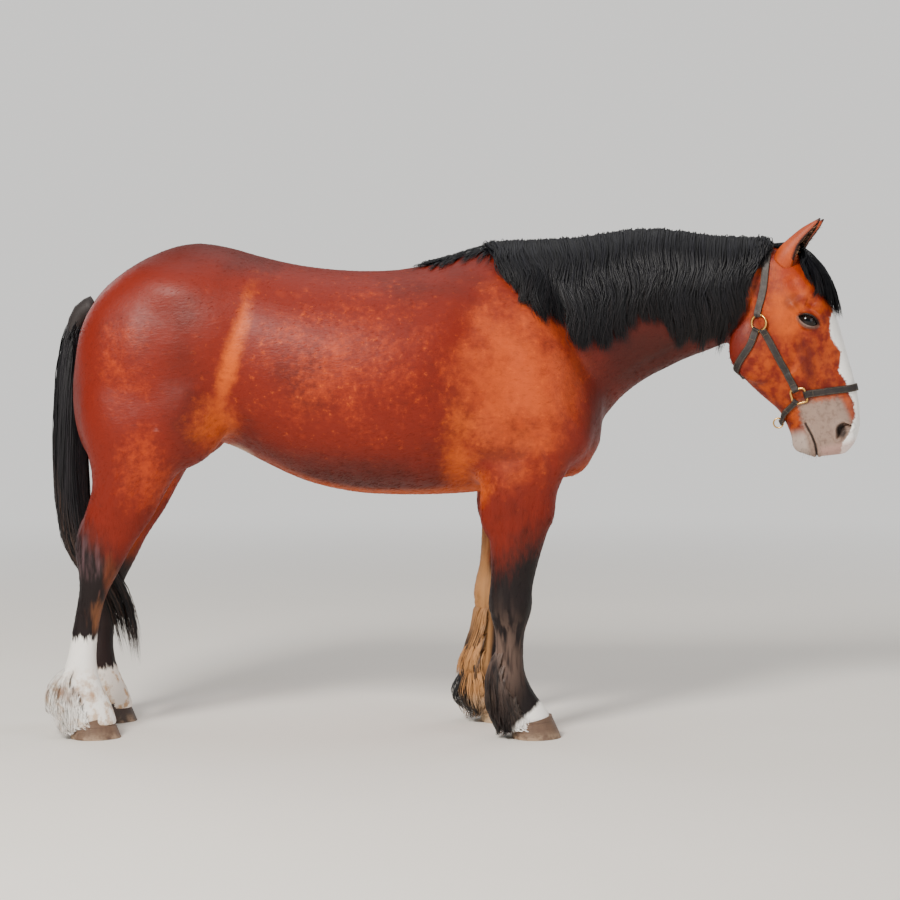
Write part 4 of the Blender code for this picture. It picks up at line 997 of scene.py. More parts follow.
# %% Places for the markings
TURNED_X = Vector((math.cos(HEAD_TURN), -math.sin(HEAD_TURN), 0))
TURNED_Y = Vector((math.sin(HEAD_TURN), math.cos(HEAD_TURN), 0))
POLL_NOW = tuple(bent([POLL])[0])


def turned(v):
    return tuple(TURNED_X * v.x + TURNED_Y * v.y + Vector((0, 0, v.z)))


def head_measure(p):
    """Down the face, out of it and to the left, as three values."""
    apart = vector(p, "SUBTRACT", POLL_NOW)
    ways = (turned(DOWN_FACE), turned(OUT_FACE), turned(Vector((0, 1, 0))))
    return [vector(apart, "DOT_PRODUCT", way, out=1) for way in ways]


def drawn(p):
    """The place in the drawing, for all that lies behind the bend of the neck."""
    return vector(p, "ADD", tuple(SHIFT))


# %% [markdown]
# Bay is a red-brown, with painted highlights on shoulder, barrel, haunch, flank and elbow, and painted
# shade on belly, throat, chest and under the mane. The lower legs are black, and white socks and a white
# face lie over them. Edges between the colours are ragged, because hairs of one colour lie over the other,
# so noise stretched along the hair moves each edge.

# %% Colours of the coat
BAY = srgb(116, 24, 3)
BAY_DARK = srgb(66, 11, 2)
BAY_LIGHT = srgb(184, 62, 10)
BAY_ORANGE = srgb(208, 88, 5)
BLACK_POINT = srgb(11, 9, 11)
BLACK_BROWN = srgb(38, 16, 10)
TAN = srgb(184, 132, 82)
WHITE_HAIR = srgb(253, 249, 243)
DUSTY = srgb(196, 160, 124)
MUZZLE = srgb(150, 126, 112)
PINK = srgb(206, 160, 150)
DARK_SKIN_AND_SHADE = srgb(24, 18, 18)


def body_colour(q, x, z, side):
    """Bay with its lighter and darker places, among them painted highlights and painted shade. side is the
    distance from the mid-plane.
    """
    cloud = noise(q, 3.2, 4.0, 0.55)
    fine = noise(q, 160.0, 2.0, 0.6, stretch=(0.25, 1.0, 0.6))
    patch = noise(q, 11.0, 4.0, 0.6)
    speck = noise(q, 48.0, 4.0, 0.7)
    colour = mix(BAY, BAY_DARK, rise(cloud, 0.48, 0.72) * 0.55)
    barrel = blob(q, (-0.34, 0.0, 1.24), (0.44, 0.6, 0.27), 0.9)
    shoulder = blob(q, (0.22, 0.0, 1.18), (0.23, 0.6, 0.33), 0.9)
    haunch = blob(q, (-1.06, 0.0, 1.26), (0.12, 0.6, 0.24), 0.9)
    gaskin = blob(q, (-1.00, 0.0, 0.90), (0.12, 0.6, 0.18), 0.9)
    # painted highlight: the lit parts of barrel, shoulder, haunch and gaskin are lighter
    lit = most(most(barrel * 0.9, shoulder * 1.15), most(haunch * 0.8, gaskin))
    uneven = (patch - 0.5) * 0.7 + (speck - 0.5) * 0.9
    colour = mix(colour, BAY_LIGHT, rise(lit * 0.8 + uneven, 0.35, 0.95) * 0.72)
    cells = {"Vector": q, "Scale": 17.0, "Smoothness": 0.6}
    dapples = q.node("ShaderNodeTexVoronoi", {"feature": "SMOOTH_F1"}, cells)
    colour = mix(colour, BAY_LIGHT, rise(1 - dapples, 0.72, 0.95) * most(barrel, shoulder) * 0.35)
    colour = mix(colour, BAY_ORANGE, rise(speck, 0.60, 0.72) * most(barrel, shoulder) * 0.55)
    # painted highlight on the shoulder
    colour = mix(colour, srgb(214, 98, 36), rise(shoulder + (patch - 0.5) * 0.8, 0.30, 1.0) * 0.34)
    croup = blob(q, (-0.81, 0.0, 1.42), (0.10, 0.6, 0.22), 0.9)
    thigh = blob(q, (-0.86, 0.0, 1.12), (0.09, 0.6, 0.24), 0.9)
    belly = blob(q, (-0.30, 0.0, 0.84), (0.42, 0.6, 0.11), 0.9)
    belly = belly * (1 - blob(q, (0.18, 0.0, 0.8), (0.16, 0.6, 0.3)))
    throat = blob(q, (0.66, 0.0, 1.22), (0.26, 0.6, 0.17), 0.9)
    chest = blob(q, (0.50, 0.0, 1.10), (0.08, 0.6, 0.18), 0.9)
    # painted shade: darker croup, front of the thigh, belly, throat and chest
    shade = most(most(croup * 0.5, thigh * 0.9), most(belly, most(throat, chest)))
    colour = mix(colour, BAY_DARK, rise(shade + (patch - 0.5) * 0.8, 0.20, 1.10) * 0.78)
    # painted highlight: an orange streak down the flank, the lower flank and the elbow, weaker on the far
    # side
    slant = (x + 0.703 - (z - 1.28) * 0.26) / 0.040
    high = (z - 1.27) / 0.25
    far_side = rise(axes(q)[1], 0.0, 0.08)
    glow = (1 - rise((slant * slant + high * high) ** 0.5, 0.0, 1.7)) * (1 - far_side * 0.75)
    low_flank = blob(q, (-0.765, 0.0, 1.04), (0.09, 0.6, 0.10), 1.0)
    elbow = blob(q, (0.035, 0.0, 0.95), (0.075, 0.6, 0.15), 1.0)
    elbow = most(elbow, blob(q, (0.10, 0.0, 0.85), (0.04, 0.6, 0.08), 1.0))
    glow = most(glow, most(low_flank, elbow) * 0.85)
    uneven = (patch - 0.5) * 0.9 + (speck - 0.5) * 0.7
    colour = mix(colour, BAY_ORANGE, rise(glow + uneven, 0.20, 1.15) * 0.85)
    # painted shade in the crease where the elbow meets the chest
    crease_shade = blob(q, (0.16, 0.0, 0.95), (0.10, 0.6, 0.035), 0.8)
    colour = mix(colour, BAY_DARK, rise(crease_shade + (patch - 0.5) * 0.5, 0.3, 1.0) * 0.5)
    inside = 1 - rise(side, 0.10, 0.17)
    colour = mix(colour, BAY_ORANGE, inside * (1 - rise(z, 0.80, 1.0)) * 0.7)
    topline = rise(z, 1.50, 1.66) * (1 - rise(x, 0.2, 0.4))
    colour = mix(colour, BAY_DARK, topline * 0.80)
    # painted shadow of the mane on the neck
    mane_shadow = blob(q, (0.66, 0.0, 1.36), (0.27, 0.6, 0.15), 0.8)
    colour = mix(colour, BLACK_BROWN, mane_shadow * 0.60)
    return mix(colour, BAY_DARK, rise(fine, 0.55, 0.8) * 0.30)


def fore_points(colour, q, x, y, z, ragged, streaks):
    """Black knees and cannons, with tan behind the left cannon and a white band on the right pastern."""
    front = rise(x, 0.16, 0.27)
    edge = z + (ragged - 0.5) * 0.16 - front * 0.07
    black = 1 - rise(edge, 0.50, 0.60)
    colour = mix(colour, BLACK_BROWN, (1 - rise(edge, 0.54, 0.70)) * 0.75)
    colour = mix(colour, BLACK_POINT, black * 0.93)
    left = rise(y, -0.02, 0.02)
    behind = 1 - rise(x + (streaks - 0.5) * 0.05, 0.115, 0.155)
    colour = mix(colour, TAN, left * behind * rise(z, 0.12, 0.20) * (1 - rise(z, 0.62, 0.74)) * 0.85)
    grey = blob(q, (0.180, -0.165, 0.28), (0.055, 0.08, 0.15), 0.9)
    colour = mix(colour, srgb(122, 98, 86), grey * rise(streaks, 0.36, 0.60) * 0.85)
    slope = (x - 0.221) * 0.80 - (z - 0.060)
    notch = blob(q, (0.262, -0.165, 0.108), (0.014, 0.09, 0.016), 0.5)
    band = rise(slope + (ragged - 0.5) * 0.020, -0.010, 0.010) * (1 - notch) * (1 - left)
    band = band * (1 - rise(z, 0.142, 0.160)) * rise(x + (ragged - 0.5) * 0.02, 0.200, 0.222)
    colour = mix(colour, WHITE_HAIR, band)
    pastern = left * (1 - rise(z + (ragged - 0.5) * 0.05, 0.085, 0.115))
    return mix(colour, mix(DUSTY, WHITE_HAIR, ragged), pastern)


def hind_points(colour, q, x, y, z, ragged, streaks):
    """Black hocks, and white socks that are stained near the ground."""
    edge = z + (ragged - 0.5) * 0.10 + (x + 1.16) * 1.1
    black = 1 - rise(edge, 0.57, 0.66)
    colour = mix(colour, BLACK_BROWN, (1 - rise(edge, 0.60, 0.76)) * 0.7)
    colour = mix(colour, BLACK_POINT, black * 0.93)
    brown = blob(q, (-1.165, -0.17, 0.41), (0.035, 0.08, 0.065), 0.9)
    colour = mix(colour, srgb(132, 82, 50), rise(brown + (streaks - 0.5) * 1.2, 0.35, 0.95) * 0.8)
    sheen = blob(q, (-1.180, -0.17, 0.620), (0.060, 0.08, 0.120), 0.9)
    colour = mix(colour, srgb(106, 78, 82), rise(sheen + (streaks - 0.5) * 1.4, 0.35, 1.0) * 0.75)
    shin = blob(q, (-1.120, -0.17, 0.545), (0.030, 0.08, 0.130), 0.9)
    colour = mix(colour, srgb(120, 56, 26), rise(shin + (streaks - 0.5) * 0.9, 0.30, 1.0) * 0.75)
    left = rise(y, -0.02, 0.02)
    top = 0.335 * (1 - left) + 0.185 * left
    sock = 1 - rise(z - top + (ragged - 0.5) * 0.075 + (streaks - 0.5) * 0.03, -0.010, 0.012)
    stain = rise(noise(q, 26.0, 4.0, 0.6), 0.48, 0.66) * (1 - rise(z, 0.16, 0.26))
    white = mix(WHITE_HAIR, DUSTY, stain * 0.8 + left * 0.25)
    dirty = blob(q, (-1.255, -0.17, 0.150), (0.100, 0.14, 0.042), 0.9)
    smear = noise(q, 34.0, 3.0, 0.6, stretch=(1.0, 1.0, 0.5))
    white = mix(white, srgb(158, 108, 68), rise(dirty + (smear - 0.5) * 2.0, 0.45, 1.15) * 0.75)
    return mix(colour, white, sock)


def face_colour(colour, q, s, t, h, ragged):
    """White down the face, a grey muzzle, dark skin round the eye, and painted shade in the nostril, along
    the mouth and in the hollow above the eye.
    """
    wide = abs(h)
    edge = s.node(
        "ShaderNodeValToRGB",
        {"stops": ((0.0, 1.0), (0.24, 0.116), (0.277, 0.092), (0.33, 0.080), (0.352, 0.083), (0.37, 0.090),
                   (0.395, 0.100), (0.43, 0.088), (0.454, 0.079), (0.489, 0.093), (0.527, 0.094),
                   (0.567, 0.102), (0.6075, 0.098), (0.663, 0.066), (0.684, 0.040), (0.72, 0.022))},
        {0: s},
    )
    past_edge = t - edge - rise(h, 0.0, 0.02) * 0.012 + (ragged - 0.5) * 0.018
    blaze = rise(past_edge, -0.003, 0.003) * rise(s, 0.235, 0.255)
    low = s + (ragged - 0.5) * 0.03 - t * 0.10
    muzzle = rise(low, 0.515, 0.550) * (1 - rise(t - (s - 0.60) * 0.2, 0.066, 0.090) * 0.85)
    muzzle = muzzle * most(rise(t + (ragged - 0.5) * 0.03, -0.088, -0.062), rise(s, 0.60, 0.64))
    along = (s - 0.269) * 0.611 + (t - 0.024) * 0.792
    up = (t - 0.024) * 0.611 - (s - 0.269) * 0.792
    lids = 1 - rise(((along / 0.041) ** 2 + (up / 0.025) ** 2) ** 0.5, 0.85, 1.10)
    lids = lids * rise(wide, 0.05, 0.07)
    mottle = noise(q, 26.0, 4.0, 0.6)
    colour = mix(colour, BAY_ORANGE, rise(mottle, 0.34, 0.70) * 0.55)
    colour = mix(colour, BAY_LIGHT, blob_at(s, t, 0.10, 0.01, 0.09, 0.05) * 0.45)
    colour = mix(colour, BAY_ORANGE, blob_at(s, t, 0.23, -0.045, 0.09, 0.06) * 0.55)
    colour = mix(colour, BAY_DARK, rise(noise(q, 30.0, 4.0, 0.6), 0.50, 0.78) * 0.30)
    colour = mix(colour, BAY_DARK, blob_at(s, t, 0.40, -0.01, 0.09, 0.03) * 0.45)
    # painted shade in the hollow above the eye
    colour = mix(colour, BAY_DARK, blob_at(s, t, 0.196, -0.014, 0.030, 0.030) * 0.38)
    colour = mix(colour, BAY_DARK, blob_at(s, t, 0.135, -0.115, 0.030, 0.018) * 0.50)
    colour = mix(colour, mix(srgb(112, 84, 72), BLACK_BROWN, rise(up, -0.004, 0.004)), lids * 0.85)
    skin = mix(MUZZLE, srgb(112, 88, 78), rise(noise(q, 60.0, 4.0, 0.65), 0.45, 0.68) * 0.6)
    colour = mix(colour, skin, muzzle)
    # painted shade inside the nostril, over its dark skin
    colour = mix(colour, DARK_SKIN_AND_SHADE, blob_at(s, t, 0.646, 0.044, 0.026, 0.018) * 0.85)
    # a dark line along the mouth: painted shade in the fold between the lips, over dark skin
    # a ramp holds no negative numbers, so the mouth's line is kept 0.1 higher than it lies
    line = s.node("ShaderNodeValToRGB", {"stops": tuple((at, t + 0.1) for at, t in MOUTH_LINE)}, {0: s})
    mouth = (1 - rise(abs(t + 0.1 - line), 0.0015, 0.0065)) * rise(s, 0.588, 0.600)
    colour = mix(colour, WHITE_HAIR, blaze)
    lip = rise(s, 0.672, 0.70) * rise(t, -0.05, -0.03)
    colour = mix(colour, PINK, lip * 0.55)
    chin = rise(s, 0.60, 0.65) * (1 - rise(t, -0.085, -0.065))
    colour = mix(colour, srgb(186, 168, 158), chin * 0.7)
    return mix(colour, DARK_SKIN_AND_SHADE, mouth * 0.85)


def blob_at(s, t, s0, t0, along, across):
    """A soft patch in head measure."""
    a = (s - s0) / along
    b = (t - t0) / across
    return 1 - rise((a * a + b * b) ** 0.5, 0.55, 1.25)


# %% [markdown]
# The hairs of a short coat are too fine to model all over, so they are mostly bump: noise drawn out along
# the way the hair lies, back and down on the trunk, down on the legs and down the face. Gloss comes from
# a middling roughness and a thin clear coat.


# %% The coat as a material
def coat_markings(p):
    """The colour at a place, masks for head and legs, the drawn place, and how far down the face it is."""
    q = drawn(p)
    x, y, z = axes(q)
    s, t, h = head_measure(p)
    ragged = noise(q, 90.0, 3.0, 0.6, stretch=(1.0, 1.0, 0.22))
    streaks = noise(q, 55.0, 2.0, 0.5, stretch=(1.0, 1.0, 0.12))
    colour = body_colour(q, x, z, abs(y))
    hind = 1 - rise(x, -0.72, -0.68)
    leg = 1 - rise(z, 0.76, 0.86)
    fore = fore_points(colour, q, x, y, z, ragged, streaks)
    rear = hind_points(colour, q, x, y, z, ragged, streaks)
    colour = mix(colour, mix(fore, rear, hind), leg)
    colour = mix(colour, srgb(214, 186, 160), blob(q, (-0.70, 0.0, 0.93), (0.05, 0.12, 0.05), 0.6) * 0.7)
    head = rise(s, -0.02, 0.02) * rise(x, 0.95, 1.0)
    fuzz = noise(p, 120.0, 3.0, 0.6)
    colour = mix(colour, face_colour(colour, q, s, t, h, fuzz), head)
    return colour, head, leg, q, s


def short_hair(q, head, leg):
    """Height of the hairs that lie flat, drawn out along the coat."""
    back = noise(q, 330.0, 2.0, 0.6, stretch=(0.16, 1.0, 0.45))
    down = noise(q, 330.0, 2.0, 0.6, stretch=(1.0, 1.0, 0.14))
    face = noise(q, 420.0, 2.0, 0.6, stretch=(0.8, 1.0, 0.25))
    body = back * (1 - leg) + down * leg
    return body * (1 - head) + face * head


def coat_material(name):
    made, shader, p = start(name)
    colour, head, leg, q, s = coat_markings(p)
    hair = short_hair(q, head, leg)
    feed(shader, "Base Color", colour)
    bare = rise(s, 0.60, 0.66) * head
    rough = 0.42 + hair * 0.18 + leg * 0.12 + bare * 0.05
    feed(shader, "Roughness", rough)
    feed(shader, "Specular IOR Level", 0.26)
    feed(shader, "Coat Weight", 0.04)
    feed(shader, "Coat Roughness", 0.34)
    muscle = noise(q, 14.0, 3.0, 0.5)
    sleek = noise(q, 62.0, 3.0, 0.6, stretch=(0.30, 1.0, 0.65))
    feed(shader, "Normal", bump(hair, 0.0016, 0.55, bump(sleek, 0.003, 0.30, bump(muscle, 0.008, 0.30))))
    return made


COAT = coat_material("bay_coat_short")
print("coat nodes", len(COAT.node_tree.nodes))

# %% [markdown]
# A finished piece rides on the model's one body, and the solids that it stands for are hidden.


# %% Handing pieces to the model
def shade_smooth(mesh):
    mesh.polygons.foreach_set("use_smooth", np.ones(len(mesh.polygons), bool))


def hand_over(obj, material, slot, *nodes):
    obj.data.materials.clear()
    obj.data.materials.append(material)
    shade_smooth(obj.data)
    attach(obj, "root")
    if nodes:
        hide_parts(*nodes)
    return obj


def moved_to_frame(obj):
    """Bends and shifts a piece from the drawing into the frame."""
    put(obj.data, bent(places_of(obj.data)))
    return obj


FLESH = [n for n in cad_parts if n.startswith(("torso", "neck", "head", "forearm", "gaskin", "cannon"))]
STRAIGHT_PLACES = places_of(skin.data)
STRAIGHT_NORMALS = normals_of(skin.data)
skin.data.calc_loop_triangles()
SKIN_FACES = np.empty(len(skin.data.loop_triangles) * 3, np.int32)
skin.data.loop_triangles.foreach_get("vertices", SKIN_FACES)
SKIN_FACES = SKIN_FACES.reshape(-1, 3)
hand_over(moved_to_frame(skin), COAT, "bay_coat", *FLESH)
print("skin stands for", FLESH)

# %% [markdown]
# Long hair is made of many thin strands in one mesh. A strand is a narrow prism along a path, closed at
# the root and pointed at the tip. All strands of a piece are built at once as arrays, because there are
# thousands. Each strand also gets a small patch on a UV map, at its root's place on the unrolled skin.

# %% Strands
PATCH = 0.003
MIDDLE_LINE = (
    (-1.2, 1.25), (-0.8, 1.27), (0.0, 1.2), (0.36, 1.2), (0.7, 1.45), (1.0, 1.48), (1.2, 1.3), (1.37, 1.03),
)


def unit(v):
    return v / np.maximum(np.linalg.norm(v, axis=-1, keepdims=True), 1e-9)


def unrolled(places):
    """The skin unrolled: trunk, neck and head round their middle line, and each leg round its own."""
    x, y, z = places.T
    middle = np.interp(x, *zip(*MIDDLE_LINE))
    u = (x + 1.36) / 2.80
    v = 0.60 * (0.5 + np.arctan2(y, z - middle) / math.tau)
    fore = x > -0.5
    round_leg = np.arctan2(np.abs(y) - 0.18, x - np.where(fore, 0.20, -1.15)) / math.tau + 0.5
    number = np.where(fore, 0, 2) + (y > 0)
    leg = z < 0.78
    u = np.where(leg, (number + 0.96 * round_leg) / 4, u)
    v = np.where(leg, 0.61 + 0.38 * z / 0.78, v)
    return np.clip(np.stack([u, v], axis=1), 0, 1 - PATCH)


def strand_faces(m):
    """Corner numbers of the triangles of one strand with m points."""
    faces = [(0, 1, 2)]
    for i in range(m - 2):
        for k in range(3):
            a = 3 * i + k
            b = 3 * i + (k + 1) % 3
            faces += [(a, a + 3, b + 3), (a, b + 3, b)]
    last = 3 * (m - 2)
    tip = 3 * (m - 1)
    return np.array(faces + [(last + (k + 1) % 3, last + k, tip) for k in range(3)])


def soft_normals(corners, m):
    """Normals that lean only a little to the sides, so that strands shade as one mass of hair."""
    rings = corners[:, :-1].reshape(len(corners), m - 1, 3, 3)
    side = unit(rings[:, :, 1] - rings[:, :, 0])
    up = unit(rings[:, :, 2] - (rings[:, :, 0] + rings[:, :, 1]) / 2)
    soft = unit(np.stack([up - 0.45 * side, up + 0.45 * side, up], axis=2)).reshape(len(corners), -1, 3)
    return np.concatenate([soft, soft[:, -1:]], axis=1).reshape(-1, 3)


def strand_piece(name, paths, widths, thicks, outs, tones, spots):
    """One mesh of n strands. Paths and outs are (n, m, 3), widths and thicks (n, m), spots (n, 2)."""
    n, m = widths.shape
    along = unit(np.gradient(paths, axis=1))
    outs = unit(outs - along * np.sum(outs * along, axis=-1, keepdims=True))
    half = np.cross(along, outs) * widths[..., None] / 2
    ridge = paths + outs * thicks[..., None]
    rings = np.stack([paths - half, paths + half, ridge], axis=2)[:, :-1].reshape(n, 3 * (m - 1), 3)
    corners = bent(np.concatenate([rings, paths[:, -1:]], axis=1))
    per = 3 * (m - 1) + 1
    faces = (strand_faces(m)[None] + np.arange(n)[:, None, None] * per).reshape(-1, 3)
    mesh = bpy.data.meshes.new(name)
    mesh.vertices.add(n * per)
    mesh.vertices.foreach_set("co", corners.astype(np.float32).ravel())
    mesh.loops.add(len(faces) * 3)
    mesh.loops.foreach_set("vertex_index", faces.astype(np.int32).ravel())
    mesh.polygons.add(len(faces))
    mesh.polygons.foreach_set("loop_start", np.arange(0, len(faces) * 3, 3, dtype=np.int32))
    mesh.update(calc_edges=True)
    far = np.append(np.repeat(np.arange(m - 1), 3), m - 1) / (m - 1)
    across = np.append(np.tile((0.0, 1.0, 0.5), m - 1), 0.5)
    patch = np.stack([across, far], axis=1) * PATCH
    on_map = (spots[:, None] + patch[None]).reshape(-1, 2)
    layer = mesh.uv_layers.new(name="OFBake")
    layer.data.foreach_set("uv", on_map[faces.ravel()].astype(np.float32).ravel())
    for label, values in (("tone", np.repeat(tones, per)), ("along", np.tile(far, n))):
        mesh.attributes.new(label, "FLOAT", "POINT").data.foreach_set("value", values.astype(np.float32))
    mesh.normals_split_custom_set_from_vertices(soft_normals(corners, m))
    made = bpy.data.objects.new(name, mesh)
    bpy.context.scene.collection.objects.link(made)
    print(name, n, "strands,", len(faces), "triangles")
    return made


# %% [markdown]
# Nobody places every hair. A few guide paths say where the hair goes, and strands run between neighbouring
# guides. Towards the tips they gather on the nearest guide, which makes the locks.


# %% Strands between guides
def along_guides(guides, i, share, length):
    """Paths at a share between guide i and the next one, as long as length says."""
    count, m, _ = guides.shape
    at = np.linspace(0, 1, m)[None] * length[:, None] * (m - 1)
    j = np.minimum(at.astype(int), m - 2)
    u = (at - j)[..., None]
    rows = i[:, None]
    here = guides[rows, j] * (1 - u) + guides[rows, j + 1] * u
    rows = ((i + 1) % count)[:, None]
    there = guides[rows, j] * (1 - u) + guides[rows, j + 1] * u
    return here * (1 - share[..., None]) + there * share[..., None]


def comb(guides, outs, rng, count, gather_tips, shortest, spread, depth, wave, ring=False):
    """Paths and outward ways of count strands that follow the guides."""
    total, m, _ = guides.shape
    t = np.linspace(0, 1, m)[None]
    at = rng.uniform(0, total - (0 if ring else 1), count)
    i = np.minimum(at.astype(int), total - (1 if ring else 2))
    f = (at - i)[:, None]
    share = f + (np.round(f) - f) * gather_tips * t
    length = shortest + (1 - shortest) * rng.uniform(0, 1, count) ** 0.5
    paths = along_guides(guides, i, share, length)
    ways = unit(along_guides(outs, i, share, length))
    along = unit(np.gradient(paths, axis=1))
    side = unit(np.cross(along, ways))
    narrow = 1 - 0.65 * gather_tips * t
    aside = rng.normal(0, spread, count)[:, None] * narrow
    arch = 0.35 + 0.65 * np.sin(np.pi * np.clip(t * 0.9 + 0.05, 0, 1))
    out = rng.uniform(0, 1, count)[:, None] * depth * arch
    turns = rng.uniform(1.2, 3.0, count)[:, None]
    phase = rng.uniform(0, math.tau, count)[:, None]
    aside = aside + wave * t * np.sin(math.tau * turns * t + phase)
    out = (out + 0.6 * wave * t * (1 + np.cos(math.tau * turns * t + phase))) * np.clip(t / 0.12, 0, 1)
    return paths + side * aside[..., None] + ways * out[..., None], ways


def hair_widths(count, m, width, rng, root=0.7, tip=0.35):
    """Widths of strands: narrower at the root, widest in the middle, and thin at the tip."""
    t = np.linspace(0, 1, m)[None]
    shape = np.where(t < 0.3, root + (1 - root) * t / 0.3, 1 - (1 - tip) * ((t - 0.3) / 0.7) ** 1.6)
    return width * rng.uniform(0.7, 1.3, count)[:, None] * shape


# %% [markdown]
# The mane grows in a strip along the crest and falls to the right side in wavy locks of different length.
# The guides climb over the crest, lie on the neck and end on the ragged lower edge that the photo shows.

# %% Mane
# Where the lower edge of the mane lies in the side view
MANE_TIPS = (
    (0.170, 1.575), (0.227, 1.444), (0.285, 1.394), (0.336, 1.355), (0.380, 1.343), (0.432, 1.265),
    (0.483, 1.252), (0.546, 1.300), (0.591, 1.315), (0.642, 1.365), (0.706, 1.345), (0.738, 1.316),
    (0.775, 1.262), (0.850, 1.264), (0.915, 1.276), (0.955, 1.350), (0.985, 1.420), (1.020, 1.497),
    (1.050, 1.600),
)
MANE_FROM = 0.120
MANE_TO = 1.062
MANE_GUIDES = 90
HAIR_POINTS = 11


def crest_at(x, y=0.0):
    return SKIN_TREE.ray_cast(Vector((x, y, 3.0)), Vector((0, 0, -1)))[0].z


def clear_of_skin(p, clearance):
    """The point, or the nearest one that stands clear of the skin, and the way out there."""
    near, normal, _, distance = SKIN_TREE.find_nearest(p)
    if (p - near).dot(normal) > 0 and distance >= clearance:
        return p, normal
    return near + normal * clearance, normal


def hanging_guide(root, crest, tip_x, tip_z, clearance, rng, wave=0.014):
    """A path from the crest down the right side of the neck. Neighbours wave together."""
    phase = 12.0 * root + rng.uniform(-0.7, 0.7)
    turns = (crest - tip_z) / 0.17 * rng.uniform(0.85, 1.15)
    points = []
    ways = []
    for k in range(HAIR_POINTS):
        t = k / (HAIR_POINTS - 1)
        fall = t**1.15
        x = root + (tip_x - root) * t + wave * math.sin(phase + math.tau * turns * t) * min(1.0, 2 * t)
        z = crest + (tip_z - crest) * fall
        hit = outermost(SKIN_TREE, x, min(z, crest - 0.010), -1)
        y = hit.y if hit else -0.05
        over = math.exp(-((t / 0.10) ** 2))
        stand = 0.010 * math.exp(-(((t - 0.10) / 0.08) ** 2))
        aside = (y - clearance) * (1 - over) + 0.004 * over
        p = Vector((x, aside, z + over * clearance * 0.5 + stand))
        p, way = clear_of_skin(p, clearance if k else -0.004)
        points.append(p)
        ways.append(way)
    return points, ways


def mane_guides(rng):
    guides = []
    for i in range(MANE_GUIDES):
        t = i / (MANE_GUIDES - 1)
        root = MANE_FROM + (MANE_TO - MANE_FROM) * t
        tip_x = MANE_TIPS[0][0] + (MANE_TIPS[-1][0] - MANE_TIPS[0][0]) * t + rng.uniform(-0.020, 0.020)
        crest = crest_at(root)
        low = between(MANE_TIPS, tip_x)
        tip_z = low + (crest - low) * rng.uniform(-0.02, 0.13)
        guides.append(hanging_guide(root, crest, tip_x, tip_z, 0.006, rng))
    return np.array([g[0] for g in guides]), np.array([g[1] for g in guides])


def hair_material(name, dark, light, tip, rough=0.42):
    """Long hair: each strand has its own tone, and the tips are paler and browner."""
    made, shader, p = start(name)
    tone = kept(p, "tone")
    along = kept(p, "along")
    grain = noise(p, 240.0, 2.0, 0.6, stretch=(1.0, 1.0, 0.12))
    colour = mix(dark, light, rise(tone, 0.25, 1.0) * 0.8 + grain * 0.2)
    colour = mix(colour, tip, rise(along, 0.55, 1.0) * rise(tone, 0.35, 0.9))
    feed(shader, "Base Color", colour)
    feed(shader, "Roughness", rough + grain * 0.16)
    feed(shader, "Specular IOR Level", 0.28)
    feed(shader, "Normal", bump(grain, 0.0006, 0.4))
    return made


MANE_HAIR = hair_material("mane_hair", srgb(4, 4, 7), srgb(15, 15, 23), srgb(27, 21, 21))
HAIRS = 1.0
RANDOM = np.random.default_rng(21)


def crest_spots(paths):
    """Roots on the unrolled strip of the crest: along the neck, and across it."""
    u = (paths[:, 0, 0] - MANE_FROM + 0.02) / (MANE_TO - MANE_FROM + 0.04)
    v = 0.5 + paths[:, 0, 1] / 0.08
    return np.clip(np.stack([u, v], axis=1), 0, 1 - PATCH)


def grow(name, paths, ways, width, material, slot, spots, rng, replaced=()):
    """One piece of long hair from combed paths, handed to the model."""
    count, m, _ = paths.shape
    widths = hair_widths(count, m, width, rng)
    made = strand_piece(name, paths, widths, widths * HAIR_FLATNESS, ways, rng.uniform(0, 1, count), spots)
    return hand_over(made, material, slot, *replaced)


HAIR_FLATNESS = 0.30
MANE_STRAND = 0.0034
# strands, depth, shortest share of the length, how much the tips gather
MANE_LAYERS = ((2600, 0.012, 0.84, 0.55), (2600, 0.024, 0.70, 0.70), (2600, 0.032, 0.50, 0.85))


def grow_mane():
    guides, ways = mane_guides(RANDOM)
    for layer, (count, depth, shortest, gather_tips) in enumerate(MANE_LAYERS):
        hairs = int(count * HAIRS)
        paths, outs = comb(guides, ways, RANDOM, hairs, gather_tips, shortest, 0.010, depth, 0.008)
        grow(f"mane_{layer}", paths, outs, MANE_STRAND, MANE_HAIR, "black_points", crest_spots(paths), RANDOM)


grow_mane()

# %% [markdown]
# Short hair at the withers is the thin end of the mane. It lies back and down. The way of making it is
# that of the mane, with few and thin strands, so that the coat shows between them.


# %% Wisps on the withers
WISP_GUIDES = 22
WISP_HAIRS = 330
WISP_STRAND = 0.0026


def grow_wisps():
    guides = []
    for i in range(WISP_GUIDES):
        t = i / (WISP_GUIDES - 1)
        root = 0.175 - 0.255 * t
        crest = crest_at(root)
        drop = 0.075 * (1 - 0.65 * t) * RANDOM.uniform(0.35, 1.1)
        guides.append(hanging_guide(root, crest, root - 0.055, crest - drop, 0.003, RANDOM, 0.006))
    guides, ways = np.array([g[0] for g in guides]), np.array([g[1] for g in guides])
    paths, outs = comb(guides, ways, RANDOM, int(WISP_HAIRS * HAIRS), 0.75, 0.35, 0.008, 0.005, 0.004)
    grow("mane_wisps", paths, outs, WISP_STRAND, MANE_HAIR, "black_points", crest_spots(paths), RANDOM)


grow_wisps()

# %% [markdown]
# The forelock grows between the ears, stands a little off the forehead and falls over it to the right.

# %% Forelock
FORELOCK_GUIDES = 26
FORELOCK_HAIRS = 1600
FORELOCK_STRAND = 0.0036


